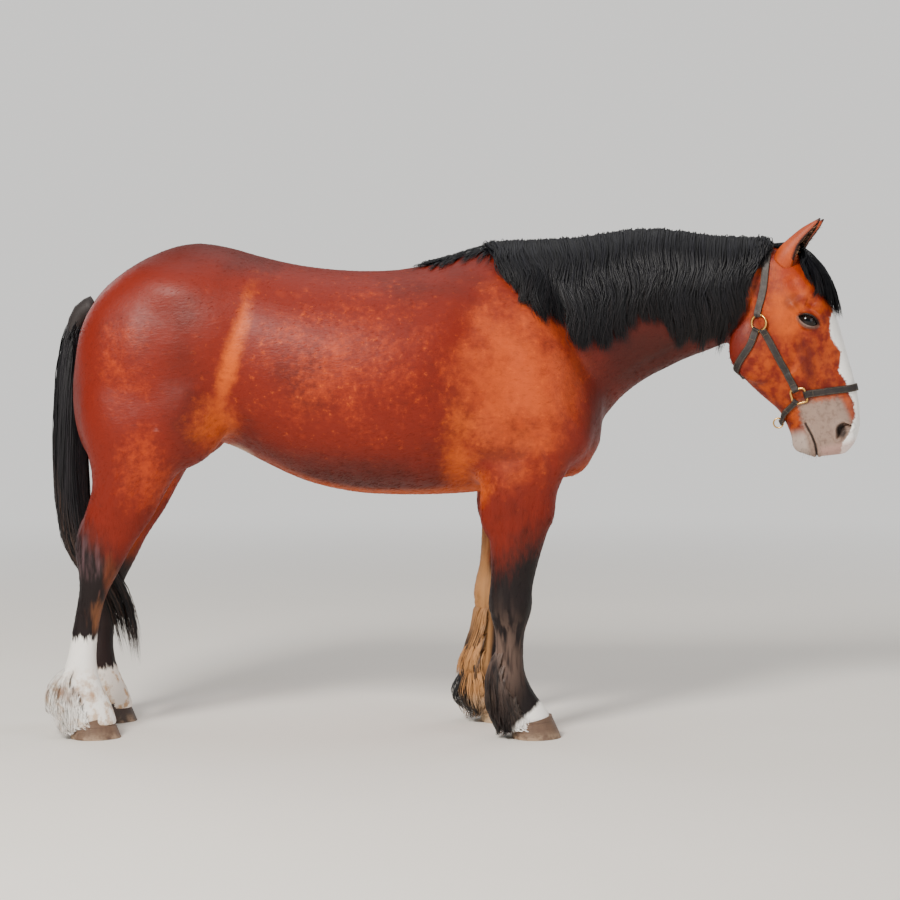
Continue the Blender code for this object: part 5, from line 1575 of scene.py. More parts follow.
def forelock_guides(rng):
    guides = []
    outs = []
    for i in range(FORELOCK_GUIDES):
        a = i / (FORELOCK_GUIDES - 1) * 2 - 1
        length = 0.275 - 0.10 * abs(a) ** 1.5 + rng.uniform(-0.02, 0.02)
        phase = rng.uniform(0, math.tau)
        points = []
        ways = []
        for k in range(HAIR_POINTS):
            t = k / (HAIR_POINTS - 1)
            s = -0.006 + (length + 0.016) * t
            y = -0.006 - 0.016 * t + a * (0.028 + 0.042 * t**0.8) + 0.006 * math.sin(phase + 7 * t) * t
            start_at = head_point(s, -0.05, y)
            way = head_point(s, 1.0, y) - start_at
            hit, normal, _, _ = SKIN_TREE.ray_cast(start_at + way.normalized() * 0.30, -way.normalized())
            lift = -0.006 if k == 0 else 0.004 + 0.006 * math.sin(math.pi * min(1.0, t * 1.1))
            points.append(hit + way.normalized() * lift)
            ways.append(normal)
        guides.append(points)
        outs.append(ways)
    return np.array(guides), np.array(outs)


def grow_forelock():
    guides, ways = forelock_guides(RANDOM)
    paths, outs = comb(guides, ways, RANDOM, int(FORELOCK_HAIRS * HAIRS), 0.75, 0.60, 0.005, 0.025, 0.005)
    spots = np.stack([0.5 + paths[:, 0, 1] / 0.10, (1.70 - paths[:, 0, 2]) / 0.16], axis=1)
    spots = np.clip(spots, 0, 1 - PATCH)
    grow("forelock", paths, outs, FORELOCK_STRAND, MANE_HAIR, "black_points", spots, RANDOM)


grow_forelock()

# %% [markdown]
# Tail hair grows all round the dock, hangs together as one heavy switch, and here blows a little forward
# between the hocks. Guides stand in a ring round the tail's middle line.

# %% Tail
# The middle of the tail in the side view, from the dock down
TAIL_LINE = (
    (-1.190, 1.430), (-1.238, 1.400), (-1.266, 1.320), (-1.274, 1.200), (-1.276, 1.050), (-1.278, 0.900),
    (-1.276, 0.750), (-1.262, 0.640), (-1.222, 0.550), (-1.165, 0.470), (-1.122, 0.360), (-1.092, 0.205),
)
TAIL_POINTS = 14
TAIL_GUIDES = 44
TAIL_STRAND = 0.0040
# name, strands, depth, the solid that the piece stands for
TAIL_LAYERS = (("tail_outer", 1900, 0.006, ("tail",)), ("tail_inner", 1900, -0.030, ()))


def tail_guides(rng):
    guides = []
    outs = []
    for i in range(TAIL_GUIDES):
        angle = math.tau * i / TAIL_GUIDES
        spread = rng.uniform(0.70, 1.05)
        begin = rng.uniform(0.03, 0.25)
        forward = rng.uniform(0.0, 0.05) * (math.cos(angle) < 0.2)
        end = rng.uniform(0.86, 1.0) if forward else rng.uniform(0.66, 0.86)
        phase = rng.uniform(0, math.tau)
        points = []
        ways = []
        for k in range(TAIL_POINTS):
            t = k / (TAIL_POINTS - 1)
            x, z = spline(TAIL_LINE, (begin + (end - begin) * t) * (len(TAIL_LINE) - 1) * 0.9999)
            grow_out = spread * min(1.0, 0.30 + 2.2 * t) * (1 - 0.50 * max(0.0, t - 0.55) / 0.45)
            back = 0.052 * grow_out * math.cos(angle)
            aside = 0.060 * grow_out * math.sin(angle) + 0.008 * math.sin(phase + 8 * t) * t
            ahead = forward * min(1.0, max(0.0, (0.86 - z) / 0.30)) ** 1.5
            ahead -= 0.35 * forward * min(1.0, max(0.0, (0.50 - z) / 0.28))
            points.append(Vector((x - back + ahead + 0.006 * math.sin(phase * 2 + 7 * t) * t, aside, z)))
            ways.append(Vector((-math.cos(angle), math.sin(angle), 0.0)))
        guides.append(points)
        outs.append(ways)
    return np.array(guides), np.array(outs)


def grow_tail():
    guides, ways = tail_guides(RANDOM)
    hair = hair_material("tail_hair", srgb(7, 7, 10), srgb(26, 23, 28), srgb(70, 52, 44))
    for name, count, depth, nodes in TAIL_LAYERS:
        hairs = int(count * HAIRS)
        paths, outs = comb(guides, ways, RANDOM, hairs, 0.70, 0.62, 0.008, depth, 0.007, ring=True)
        angles = np.arctan2(outs[:, 0, 1], -outs[:, 0, 0]) / math.tau + 0.5
        spots = np.clip(np.stack([angles, (1.45 - paths[:, 0, 2]) / 0.40], axis=1), 0, 1 - PATCH)
        grow(name, paths, outs, TAIL_STRAND, hair, "black_points", spots, RANDOM, nodes)


grow_tail()

# %% [markdown]
# The dock is the fleshy root of the tail. A short tapered form fills it, so no gap shows between skin and
# hair.


# %% Dock
def tube_shape(points, radii, i):
    """The ring at point i of a round tube."""
    ahead = points[min(i + 1, len(points) - 1)]
    behind = points[max(i - 1, 0)]
    along = (ahead - behind).normalized()
    a = along.cross(Vector((0, 1, 0))).normalized()
    b = along.cross(a)
    return lambda angle: points[i] + (a * math.cos(angle) + b * math.sin(angle)) * radii[i]


DOCK_RADII = (0.036, 0.036, 0.033, 0.030, 0.027, 0.024, 0.021, 0.017, 0.008)
DOCK_STEP = 0.45


def add_dock():
    rows = [spline(TAIL_LINE, k * DOCK_STEP) for k in range(len(DOCK_RADII))]
    points = [Vector((x, 0, z)) for x, z in rows]
    bm = loft([tube_shape(points, DOCK_RADII, i) for i in range(len(DOCK_RADII))], 20)
    dock = moved_to_frame(object_from(bm, "dock"))
    made, shader, p = start("dock_skin")
    grain = noise(p, 300.0, 3.0, 0.6, stretch=(1.0, 1.0, 0.15))
    paint(shader, mix(srgb(18, 15, 16), srgb(44, 34, 32), grain), 0.55 + 0.2 * grain, bump(grain, 0.001, 0.6))
    hand_over(dock, made, "black_points")


add_dock()

# %% [markdown]
# Feather is the long hair behind the cannons and over the heels. It grows from the back half of the leg,
# lies down and stands out over the fetlock. The right front one is black, the left front one has blond
# and orange streaks, and the hind ones follow their white socks.

# %% Feather
FORE_FEATHER = ((0.130, 0.400), (0.121, 0.300), (0.106, 0.176), (0.111, 0.085), (0.151, 0.020))
HIND_FEATHER = ((-1.270, 0.360), (-1.290, 0.250), (-1.342, 0.170), (-1.338, 0.095), (-1.296, 0.022))
FORE_CENTRE = ((0.045, 0.270), (0.100, 0.248), (0.200, 0.200), (0.500, 0.200))
HIND_CENTRE = ((0.045, -1.180), (0.100, -1.190), (0.200, -1.222), (0.500, -1.185))
FEATHER_POINTS = 7
# name, side, back line, centre line, shift, level where long hair starts, how far it stands out, strands
LEGS = (
    ("fore_right", -1, FORE_FEATHER, FORE_CENTRE, ((0, 0), (2, 0)), 0.28, 0.75, 2300),
    ("fore_left", 1, FORE_FEATHER, FORE_CENTRE, LEFT_FORE_BACK, 0.02, 1.00, 2900),
    ("hind_right", -1, HIND_FEATHER, HIND_CENTRE, ((0, 0), (2, 0)), 0.30, 1.00, 2900),
    ("hind_left", 1, HIND_FEATHER, HIND_CENTRE, LEFT_HIND_BACK, 0.34, 0.75, 2300),
)
FEATHER_LEVELS = 8
FEATHER_COLUMNS = 11
FEATHER_STRAND = 0.0030
LONGEST_STEP = 0.035


def on_line(line, t):
    at = t * (len(line) - 1)
    return spline(line, min(at, len(line) - 1.0001))


def feather_guide(leg, level, turn, length, rng):
    """One path from the back of the leg, out over the fetlock and in again towards the heel."""
    _, side, line, centre, shift, _, stand, _ = leg
    out = Vector((-math.cos(turn), math.sin(turn) * side, 0))
    phase = 3.0 * turn + rng.uniform(-0.2, 0.2)
    points = []
    ways = []
    for k in range(FEATHER_POINTS):
        t = k / (FEATHER_POINTS - 1)
        x, z = on_line(line, min(1.0, max(0.0, level + length * t)))
        back = between(shift, z)
        middle = Vector((between(centre, z) + back, side * LEG_SPREAD, max(z, 0.062)))
        hit = SKIN_TREE.ray_cast(middle + out * 0.15, -out)[0]
        skin_out = (hit - middle).length if hit else 0.05
        reach = abs(x + back - middle.x) * math.cos(turn) ** 2 + 0.060 * math.sin(turn) ** 2
        lower = 0.35 + 0.65 * min(1.0, max(0.0, level / 0.45))
        puff = max(0.0, reach - skin_out) * stand * lower * math.sin(math.pi * (0.72 * t + 0.06))
        far = skin_out - 0.004 if k == 0 else skin_out + 0.003 + puff
        sway = 0.010 * math.sin(phase + 4 * t) * t
        across = Vector((math.sin(turn), math.cos(turn) * side, 0))
        p = middle + out * far + across * sway
        p.z = max(z, 0.012 + 0.055 * max(0.0, abs(math.sin(turn)) - 0.35))
        points.append(p)
        ways.append(out + Vector((0, 0, 0.2)))
    return points, ways


def feather_guides(rng, leg):
    """Guides level by level, each level running round the back of the leg."""
    guides = []
    outs = []
    begin = leg[5]
    for row in range(FEATHER_LEVELS):
        level = begin + (0.80 - begin) * row / (FEATHER_LEVELS - 1)
        for column in range(FEATHER_COLUMNS):
            turn = (column / (FEATHER_COLUMNS - 1) * 2 - 1) * (1.0 + 0.05 * row) + rng.uniform(-0.03, 0.03)
            length = rng.uniform(0.33, 0.40) * (1.0 if abs(turn) < 1.0 else 0.45)
            made = feather_guide(leg, level + rng.uniform(-0.015, 0.015), turn, length, rng)
            guides.append(made[0])
            outs.append(made[1])
    return np.array(guides), np.array(outs)


def feather_material(name, left_fore=False):
    """Feather takes the coat's own markings, with streaks of tan and black on the left front leg."""
    made, shader, p = start(name)
    colour = coat_markings(p)[0]
    tone = kept(p, "tone")
    z = axes(p)[2]
    if left_fore:
        streaks = mix(BLACK_POINT, TAN, rise(tone, 0.40, 0.62))
        streaks = mix(streaks, srgb(206, 144, 84), rise(tone, 0.75, 0.90))
        colour = mix(colour, streaks, 1 - rise(z, 0.24, 0.40))
        colour = mix(colour, mix(BLACK_POINT, DUSTY, rise(tone, 0.3, 0.8)), (1 - rise(z, 0.07, 0.12)) * 0.8)
    behind = 1 - rise(axes(p)[0], -1.30, -1.25)
    colour = mix(colour, srgb(120, 108, 106), behind * rise(tone, 0.35, 0.85) * 0.55)
    colour = mix(colour, srgb(96, 78, 64), rise(tone, 0.75, 1.0) * 0.22)
    grain = noise(p, 260.0, 2.0, 0.6, stretch=(1.0, 1.0, 0.12))
    paint(shader, colour, 0.5 + tone * 0.15, bump(grain, 0.0008, 0.5))
    return made


def lock_tones(roots, rng):
    """A tone for each strand: much the same within a patch of roots, and a little of its own."""
    bumps = rng.uniform(0, math.tau, 3)
    x, y, z = roots.T * 75.0
    wave = np.sin(x + bumps[0]) + np.sin(1.3 * y + 0.5 * z + bumps[1]) + np.sin(0.6 * z + x + bumps[2])
    return np.clip(0.5 + 0.25 * wave + rng.normal(0, 0.08, len(roots)), 0, 1)


def grow_feather():
    plain = feather_material("feather_hair")
    streaked = feather_material("feather_streaked", left_fore=True)
    for leg in LEGS:
        guides, ways = feather_guides(RANDOM, leg)
        paths, outs = comb(guides, ways, RANDOM, int(leg[7] * HAIRS), 0.25, 0.7, 0.006, 0.005, 0.002)
        straight = np.linalg.norm(np.diff(paths, axis=1), axis=2).max(axis=1) < LONGEST_STEP
        paths, outs = paths[straight], outs[straight]
        widths = hair_widths(len(paths), FEATHER_POINTS, FEATHER_STRAND, RANDOM)
        tones = lock_tones(paths[:, 0], RANDOM)
        spots = unrolled(paths[:, 0])
        made = strand_piece(f"feather_{leg[0]}", paths, widths, widths * HAIR_FLATNESS, outs, tones, spots)
        hand_over(made, streaked if leg[0] == "fore_left" else plain, "black_points")


grow_feather()

# %% [markdown]
# The eye of a horse is large and dark, with a brown iris and a pupil that lies across. It is a ball with
# a slight bulge where the cornea is, drawn as rings from the back to the front. Each point keeps where it
# lies in front of the eye, so the iris can be painted from that.


# %% Eyes
RIM_POINTS = 25
RIM_RADIUS = 0.0030
LID_LIFT = 0.0016


def eye_shape(centre, axes_of_eye, polar):
    """The ring of the eyeball at a polar angle from the front."""
    along, up, out = axes_of_eye
    bulge = 1 + 0.035 * math.exp(-((polar / 0.60) ** 2))
    across = math.sin(polar) * EYE_RADIUS * bulge
    front = math.cos(polar) * EYE_RADIUS * bulge
    return lambda angle: centre + (along * math.cos(angle) + up * math.sin(angle)) * across + out * front


def keep(obj, label, values):
    obj.data.attributes.new(label, "FLOAT", "POINT").data.foreach_set("value", np.asarray(values, np.float32))


def eye_material():
    made, shader, p = start("eye_wet")
    a = kept(p, "eye_along")
    b = kept(p, "eye_up")
    away = (a * a + b * b) ** 0.5
    pupil = 1 - rise(((a / 0.34) ** 2 + (b / 0.17) ** 2) ** 0.5, 0.85, 1.10)
    rays = noise(p, 420.0, 3.0, 0.7)
    iris = mix(srgb(13, 7, 5), srgb(34, 17, 9), rays)
    colour = mix(iris, srgb(16, 9, 7), rise(away, 0.60, 0.74))
    colour = mix(colour, srgb(2, 3, 6), pupil)
    feed(shader, "Base Color", colour)
    feed(shader, "Roughness", 0.10 + 0.04 * rays)
    feed(shader, "Specular IOR Level", 0.35)
    return made


def rim_points(centre, side, upper, lift, past=0.0):
    """Points along one lid's edge from corner to corner."""
    along, up, out = eye_axes(side)
    points = []
    for k in range(RIM_POINTS):
        a = LID_HALF * math.sin((k / (RIM_POINTS - 1) - 0.5) * math.pi)
        b = (float(lid_edge(a, upper)) + past) * (1 if upper else -1)
        c = math.sqrt(max(0.0, (EYE_RADIUS + lift) ** 2 - a * a - b * b))
        points.append(centre + along * a + up * b + out * c)
    return points


def lid_material(name, dark, light):
    made, shader, p = start(name)
    grain = noise(p, 500.0, 3.0, 0.6)
    paint(shader, mix(dark, light, grain), 0.34 + 0.2 * grain, bump(grain, 0.0006, 0.6))
    return made


def add_eyes():
    wet = eye_material()
    dark = lid_material("lid_dark", srgb(20, 14, 14), srgb(48, 36, 34))
    pale = lid_material("lid_pale", srgb(84, 66, 60), srgb(146, 124, 114))
    for side, name in ((-1, "right"), (1, "left")):
        centre = EYES[side]
        ways = eye_axes(side)
        polar = np.linspace(math.pi * 0.98, 0.02, 34)
        eye = object_from(loft([eye_shape(centre, ways, a) for a in polar], 48), f"eyeball_{name}")
        apart = places_of(eye.data) - np.array(centre)
        keep(eye, "eye_along", apart @ np.array(ways[0]) / EYE_RADIUS)
        keep(eye, "eye_up", apart @ np.array(ways[1]) / EYE_RADIUS)
        hand_over(moved_to_frame(eye), wet, "eye", f"eye_{name}")
        for label, upper, material, past in (("upper", True, dark, 0.0004), ("lower", False, pale, 0.0012)):
            points = rim_points(centre, side, upper, LID_LIFT, past)
            last = RIM_POINTS - 1
            radii = [RIM_RADIUS * (0.45 + 0.55 * math.sin(math.pi * k / last)) for k in range(RIM_POINTS)]
            tube = loft([tube_shape(points, radii, k) for k in range(RIM_POINTS)], 10)
            rim = object_from(tube, f"lid_{label}_{name}")
            hand_over(moved_to_frame(rim), material, "black_points")


add_eyes()

# %% [markdown]
# Lashes are stiff hairs on the upper lid that point out and down, and long feelers stand round the
# muzzle. Each one is a single thin strand.


# %% Lashes and whiskers
BRISTLE_POINTS = 6
LASHES = 70
WHISKERS = 50


def bristles(name, roots, ways, lengths, droop, width, material):
    """Single stiff hairs from roots, each a strand of a few points."""
    t = np.linspace(0, 1, BRISTLE_POINTS)
    steps = t[None, :, None] * lengths[:, None, None]
    paths = roots[:, None] + ways[:, None] * steps
    paths[..., 2] -= droop * (t**2)[None] * lengths[:, None]
    outs = np.repeat(np.cross(ways, (0.0, 0.0, 1.0))[:, None] + 1e-3, BRISTLE_POINTS, axis=1)
    widths = width * (1 - 0.8 * t)[None] * np.ones((len(roots), 1))
    tones = RANDOM.uniform(0, 1, len(roots))
    made = strand_piece(name, paths, widths, widths * 0.8, outs, tones, unrolled(roots))
    return hand_over(made, material, "black_points")


def add_bristles():
    roots = []
    ways = []
    for side in (-1, 1):
        edge = rim_points(EYES[side], side, True, 0.0035)
        out = eye_axes(side)[2]
        for _ in range(LASHES):
            i = int(RANDOM.integers(3, 21))
            roots.append(edge[i].lerp(edge[i + 1], RANDOM.uniform(0, 1)))
            fan = (edge[i] - EYES[side]).normalized() * 0.4
            ways.append((out + fan + Vector((0.15, 0, 0.10))).normalized())
    lengths = RANDOM.uniform(0.010, 0.019, len(roots))
    bristles("lashes", np.array(roots), np.array(ways), lengths, 0.6, 0.0011, MANE_HAIR)
    roots = []
    ways = []
    while len(roots) < WHISKERS:
        s = RANDOM.uniform(0.64, 0.715)
        t = RANDOM.uniform(-0.13, -0.01)
        side = RANDOM.choice((-1, 1))
        start_at = head_point(s, t, side * 0.12)
        hit, normal, _, _ = SKIN_TREE.ray_cast(start_at, Vector((0, -side, 0)))
        if hit:
            roots.append(hit - normal * 0.001)
            ways.append((normal + Vector((0.1, 0, -0.2))).normalized())
    lengths = RANDOM.uniform(0.012, 0.034, len(roots))
    bristles("whiskers", np.array(roots), np.array(ways), lengths, 0.2, 0.0008, MANE_HAIR)


add_bristles()

# %% [markdown]
# An ear is a rolled leaf. Each ring is a crescent: round the outside, and back along the inside. Its
# opening widens up to the middle and closes towards the tip. The inside is darker, with soft hair across
# the opening.

# %% Ears
# Each row, from root to tip: width, and half the angle of the opening
EAR_ROWS = (
    (0.042, 0.25), (0.043, 0.42), (0.042, 0.70), (0.039, 0.92), (0.035, 1.10), (0.031, 1.15), (0.026, 1.12),
    (0.019, 1.0), (0.011, 0.85), (0.003, 0.6),
)
EAR_THICK = 0.0040
EAR_SIDES = 40
EAR_STEPS = 30
EAR_HAIRS = 420


def ear_frame(side):
    base = head_point(0.066, -0.020, side * 0.050)
    tip = Vector((1.238, side * 0.083, 1.718))
    axis = (tip - base).normalized()
    face = Vector((0.90, side * 0.25, 0))
    face = (face - axis * face.dot(axis)).normalized()
    return base, tip, face, axis.cross(face)


def ear_shape(side, t):
    """The crescent at t from root to tip: half the angles run round the outside, half come back inside."""
    base, tip, face, wide = ear_frame(side)
    width, opening = spline(EAR_ROWS, t * (len(EAR_ROWS) - 1) * 0.99999)
    middle = base.lerp(tip, t) - face * (0.003 * math.sin(math.pi * t))
    inner = max(width - EAR_THICK * (1 - 0.5 * t), width * 0.5)

    def at(angle):
        f = angle / math.pi
        outside = f <= 1
        a = (f * 2 - 1 if outside else 3 - f * 2) * (math.pi - opening)
        away = wide * math.sin(a) - face * math.cos(a) * (1.0 if abs(a) > 1.2 else 0.92)
        return middle + away * (width if outside else inner)

    return at


def ear_material():
    made, shader, p = start("ear_coat")
    colour = coat_markings(p)[0]
    inside = kept(p, "inside")
    rim = kept(p, "rim")
    grain = noise(p, 340.0, 3.0, 0.6)
    colour = mix(colour, BAY_ORANGE, 0.25 + 0.2 * grain)
    colour = mix(colour, mix(srgb(58, 40, 34), srgb(96, 70, 58), grain), inside)
    colour = mix(colour, BLACK_POINT, rise(rim + (grain - 0.5) * 0.2, 0.55, 0.85) * 0.9)
    paint(shader, colour, 0.45 + 0.2 * grain, bump(grain, 0.0010, 0.5))
    return made


def add_ears():
    material = ear_material()
    for side, name in ((-1, "right"), (1, "left")):
        shapes = [ear_shape(side, k / (EAR_STEPS - 1)) for k in range(EAR_STEPS)]
        ear = object_from(loft(shapes, EAR_SIDES), f"ear_cup_{name}")
        index = np.arange(len(ear.data.vertices))
        around = (index % EAR_SIDES) / EAR_SIDES * 2
        height = np.minimum(index // EAR_SIDES / (EAR_STEPS - 1), 1.0)
        keep(ear, "inside", around > 1)
        edge = np.abs(np.abs((around % 1) * 2 - 1))
        keep(ear, "rim", np.maximum(edge**3, np.clip((height - 0.80) / 0.2, 0, 1)) * (height > 0.2))
        hand_over(moved_to_frame(ear), material, "bay_coat", f"ear_{name}")


def grow_ear_hair():
    """Soft hair from both inner edges of each ear, up and across the opening."""
    soft = hair_material("ear_hair", srgb(70, 46, 34), srgb(150, 112, 84), srgb(176, 142, 112), 0.6)
    roots = []
    ways = []
    for side in (-1, 1):
        base, tip, face, wide = ear_frame(side)
        for _ in range(int(EAR_HAIRS * HAIRS)):
            t = RANDOM.uniform(0.10, 0.80)
            edge = RANDOM.choice((-1.0, 1.0))
            f = 0.5 + edge * RANDOM.uniform(0.32, 0.49)
            roots.append(ear_shape(side, t)(math.pi * (2 - f)))
            up = (tip - base).normalized()
            across = face * RANDOM.uniform(0.1, 0.5) - wide * edge * RANDOM.uniform(0.2, 0.8)
            ways.append((up * 1.2 + across).normalized())
    lengths = RANDOM.uniform(0.012, 0.028, len(roots))
    bristles("ear_hair", np.array(roots), np.array(ways), lengths, 0.1, 0.0016, soft)


add_ears()
grow_ear_hair()

# %% [markdown]
# A hoof is a wall of horn that widens down to a flat sole, under a slanted top edge. Faint rings run
# round it, because horn grows faster at some times than at others. The rings are in the mesh, and the
# streaks, the dust and the wear are in the material.

# %% Hooves
CORONET_FRONT = 0.084
CORONET_BACK = 0.046
# Front and back edge and half width of the sole
FORE_HOOF = (0.370, 0.205, 0.076)
HIND_HOOF = (-1.093, -1.262, 0.075)
# height, how far the toe and the heel draw back from the sole's edge, share of the width
HOOF_RINGS = (
    (0.0, 0.0, 0.0, 1.0), (0.03, -0.012, 0.0, 0.965), (0.075, -0.033, 0.003, 0.89), (0.12, -0.05, 0.0, 0.8),
)


def hoof_shape(front, rear, half, y, f, inset=0.0):
    """The ring at f of the wall's height, which is more at the toe than at the heel."""

    def at(angle):
        z = f * (CORONET_FRONT + CORONET_BACK) / 2
        for _ in range(4):
            toe, heel, wide = (between(tuple((r[0], r[k]) for r in HOOF_RINGS), z) for k in (1, 2, 3))
            middle = (front + toe + rear + heel) / 2
            reach = (front + toe - rear - heel) / 2
            grow = 0.0005 * math.sin(f * 58) + 0.0016 * max(0.0, f - 0.85) / 0.15 - inset
            x = middle + (reach + grow) * math.cos(angle)
            top = CORONET_BACK + (x - rear) / (front - rear) * (CORONET_FRONT - CORONET_BACK)
            z = f * top
        aside = (half * wide + grow) * math.sin(angle) * (1 - 0.12 * math.cos(angle))
        return Vector((x, y + aside, z + (0.004 if inset > 0.005 else 0.0)))

    return at


def hoof_material(name, dark, light, ring):
    made, shader, p = start(name)
    z = axes(p)[2]
    streak = noise(p, 90.0, 3.0, 0.6, stretch=(1.0, 1.0, 0.06))
    blot = noise(p, 24.0, 4.0, 0.6)
    rings = noise(p, 150.0, 2.0, 0.5, stretch=(0.05, 0.05, 1.0))
    colour = mix(dark, light, streak * 0.7 + blot * 0.3)
    colour = mix(colour, ring, rise(rings, 0.52, 0.70) * 0.35)
    dust = (1 - rise(z, 0.0, 0.035)) * rise(blot, 0.35, 0.6)
    colour = mix(colour, srgb(176, 150, 124), dust * 0.75)
    paint(shader, colour, 0.42 + 0.25 * blot + 0.2 * dust, bump(rings * 0.6 + streak * 0.4, 0.0012, 0.6))
    return made


def add_hooves():
    brown = hoof_material("horn_brown", srgb(74, 54, 44), srgb(128, 100, 80), srgb(60, 42, 34))
    dark = hoof_material("horn_dark", srgb(34, 27, 25), srgb(84, 66, 56), srgb(26, 20, 18))
    pale = hoof_material("horn_pale", srgb(170, 138, 104), srgb(214, 186, 150), srgb(150, 116, 84))
    finishes = {"fore_right": brown, "fore_left": pale, "hind_right": brown, "hind_left": dark}
    for name, side, _, _, shift, *_ in LEGS:
        front, rear, half = FORE_HOOF if "fore" in name else HIND_HOOF
        low = shift[0][1]
        wall = [(0.0, 0.022), (0.0, 0.010), (0.0, 0.001), (0.012, 0.0)]
        wall += [(0.04 + 0.96 * k / 33, 0.0) for k in range(34)] + [(1.0, 0.004)]
        y = side * LEG_SPREAD
        shapes = [hoof_shape(front + low, rear + low, half, y, f, inset) for f, inset in wall]
        hoof = object_from(loft(shapes, 64), f"hoof_wall_{name}")
        hand_over(moved_to_frame(hoof), finishes[name], "hoof_horn", f"hoof_{name}")


add_hooves()

# %% [markdown]
# The halter is leather, about 24 mm wide and 5 mm thick, with worn edges. A strap follows a line of
# places on the head. At each place a ray from outside finds the skin, and the strap's rounded section is
# laid there. Its end climbs over the wire of the brass ring and folds down inside it, as the stitched
# ends of the real one do.

# %% Straps
STRAP_WIDTH = 0.024
STRAP_THICK = 0.0046
STRAP_SIDES = 20
CHIN_STRAP_WIDTH = 0.019
# the end that is sewn down reaches this many steps along the strap
SEWN_AT = 20
RING_RADIUS = 0.0270
RING_WIRE = 0.0038
SQUARE_RADIUS = 0.0230
CHEEK_RING = (0.2400, -0.1320)
NOSE_SQUARE = (0.503, -0.0640)
LIFT = 0.0022
# Each stop of a strap: s, t, the way to look from (down the face, out of it, to the left), lift off the skin
CROWN = (
    (0.211, -0.129, 0, 0, -1, LIFT), (0.130, -0.094, 0, 0, -1, LIFT), (0.070, -0.064, -0.35, 0, -1, LIFT),
    (0.055, -0.045, -1, 0.1, -0.5, LIFT), (0.055, -0.045, -1, 0.1, 0, LIFT),
)
THROAT = (
    (0.266, -0.153, 0, 0, -1, LIFT), (0.312, -0.188, 0, 0, -1, LIFT), (0.362, -0.182, 0.1, -0.8, -1, LIFT),
    (0.388, -0.166, 0.1, -1, -0.35, LIFT), (0.388, -0.166, 0.1, -1, 0, LIFT),
)
NOSEBAND = (
    (0.503, -0.033, 0, 0, -1, LIFT), (0.507, 0.002, 0, 0, -1, LIFT), (0.514, 0.040, 0, 0.4, -1, LIFT),
    (0.5185, 0.045, 0, 1, -0.7, LIFT), (0.5195, 0.045, 0, 1, 0, LIFT),
)
CHIN = (
    (0.530, -0.092, 0, 0, -1, LIFT), (0.553, -0.110, 0.1, -0.6, -1, 0.006),
    (0.566, -0.090, 0.15, -1, -0.45, 0.015), (0.568, -0.090, 0.15, -1, 0, 0.016),
)


def cast(s, t, direction):
    """The skin's place on the way in towards a place on the head's middle plane, and the way out there."""
    start_at = head_point(s, t)
    hit, normal, _, _ = SKIN_TREE.ray_cast(start_at + direction.normalized() * 0.30, -direction.normalized())
    return hit, normal


def over_ring(stops, ring, radius):
    """Stops that begin inside a ring and climb over its wire."""
    middle = Vector(ring)
    first = Vector(stops[0][:2])
    way = (first - middle).normalized()
    begin = middle + way * (radius - 0.0075)
    wire = middle + way * (radius + 0.0005)
    past = middle + way * (radius + 0.0120)
    aim = stops[0][2:5]
    rows = (begin, *aim, 0.0040), (wire, *aim, 0.0098), (past, *aim, 0.0050)
    return tuple((row[0].x, row[0].y, *row[1:]) for row in rows)


def mirrored(stops):
    """Stops of the right side, and then the same on the left in reverse."""
    return stops + tuple((s, t, ds, dt, -dy, lift) for s, t, ds, dt, dy, lift in reversed(stops[:-1]))


def strap_line(stops, steps=8):
    """Places along a strap with the ways along, across and out at each."""
    rows = [spline(stops, i / steps) for i in range((len(stops) - 1) * steps + 1)]
    spots = []
    for s, t, ds, dt, dy, lift in rows:
        hit, normal = cast(s, t, head_point(ds, dt) - head_point(0, 0) + Vector((0, dy, 0)))
        spots.append((hit, normal, lift))
    line = []
    for i, (hit, normal, lift) in enumerate(spots):
        along = (spots[min(i + 1, len(spots) - 1)][0] - spots[max(i - 1, 0)][0]).normalized()
        across = along.cross(normal).normalized()
        out = across.cross(along)
        out = -out if out.dot(normal) < 0 else out
        line.append((hit + out * lift, along, across, out))
    return line


def strap_shape(line, i, width):
    """A rounded rectangle that stands on the line's place."""
    p, _, across, out = line[i]

    def at(angle):
        c = math.cos(angle)
        s = math.sin(angle)
        side = math.copysign(abs(c) ** 0.30, c) * width / 2
        up = math.copysign(abs(s) ** 0.45, s) * STRAP_THICK / 2
        return p + across * side + out * (up + STRAP_THICK / 2)

    return at


def leather(name, dark, light):
    made, shader, p = start(name)
    pores = p.node("ShaderNodeTexVoronoi", {}, {"Vector": p, "Scale": 700.0})
    wear = noise(p, 60.0, 4.0, 0.65)
    cracks = noise(p, 260.0, 3.0, 0.6, stretch=(1.0, 1.0, 0.3))
    edge = kept(p, "edge")
    colour = mix(dark, light, rise(wear, 0.40, 0.70))
    colour = mix(colour, srgb(24, 18, 16), rise(cracks, 0.58, 0.70) * 0.6)
    colour = mix(colour, srgb(112, 84, 66), rise(edge + (wear - 0.5) * 0.5, 0.75, 1.05) * 0.65)
    paint(shader, colour, 0.42 + 0.30 * wear, bump(pores * 0.5 + cracks * 0.5, 0.0007, 0.7))
    return made


STITCH_STEP = 0.0052
STITCH_INSET = 0.0032
STITCH_LIFT = 0.0001
STITCHES = []


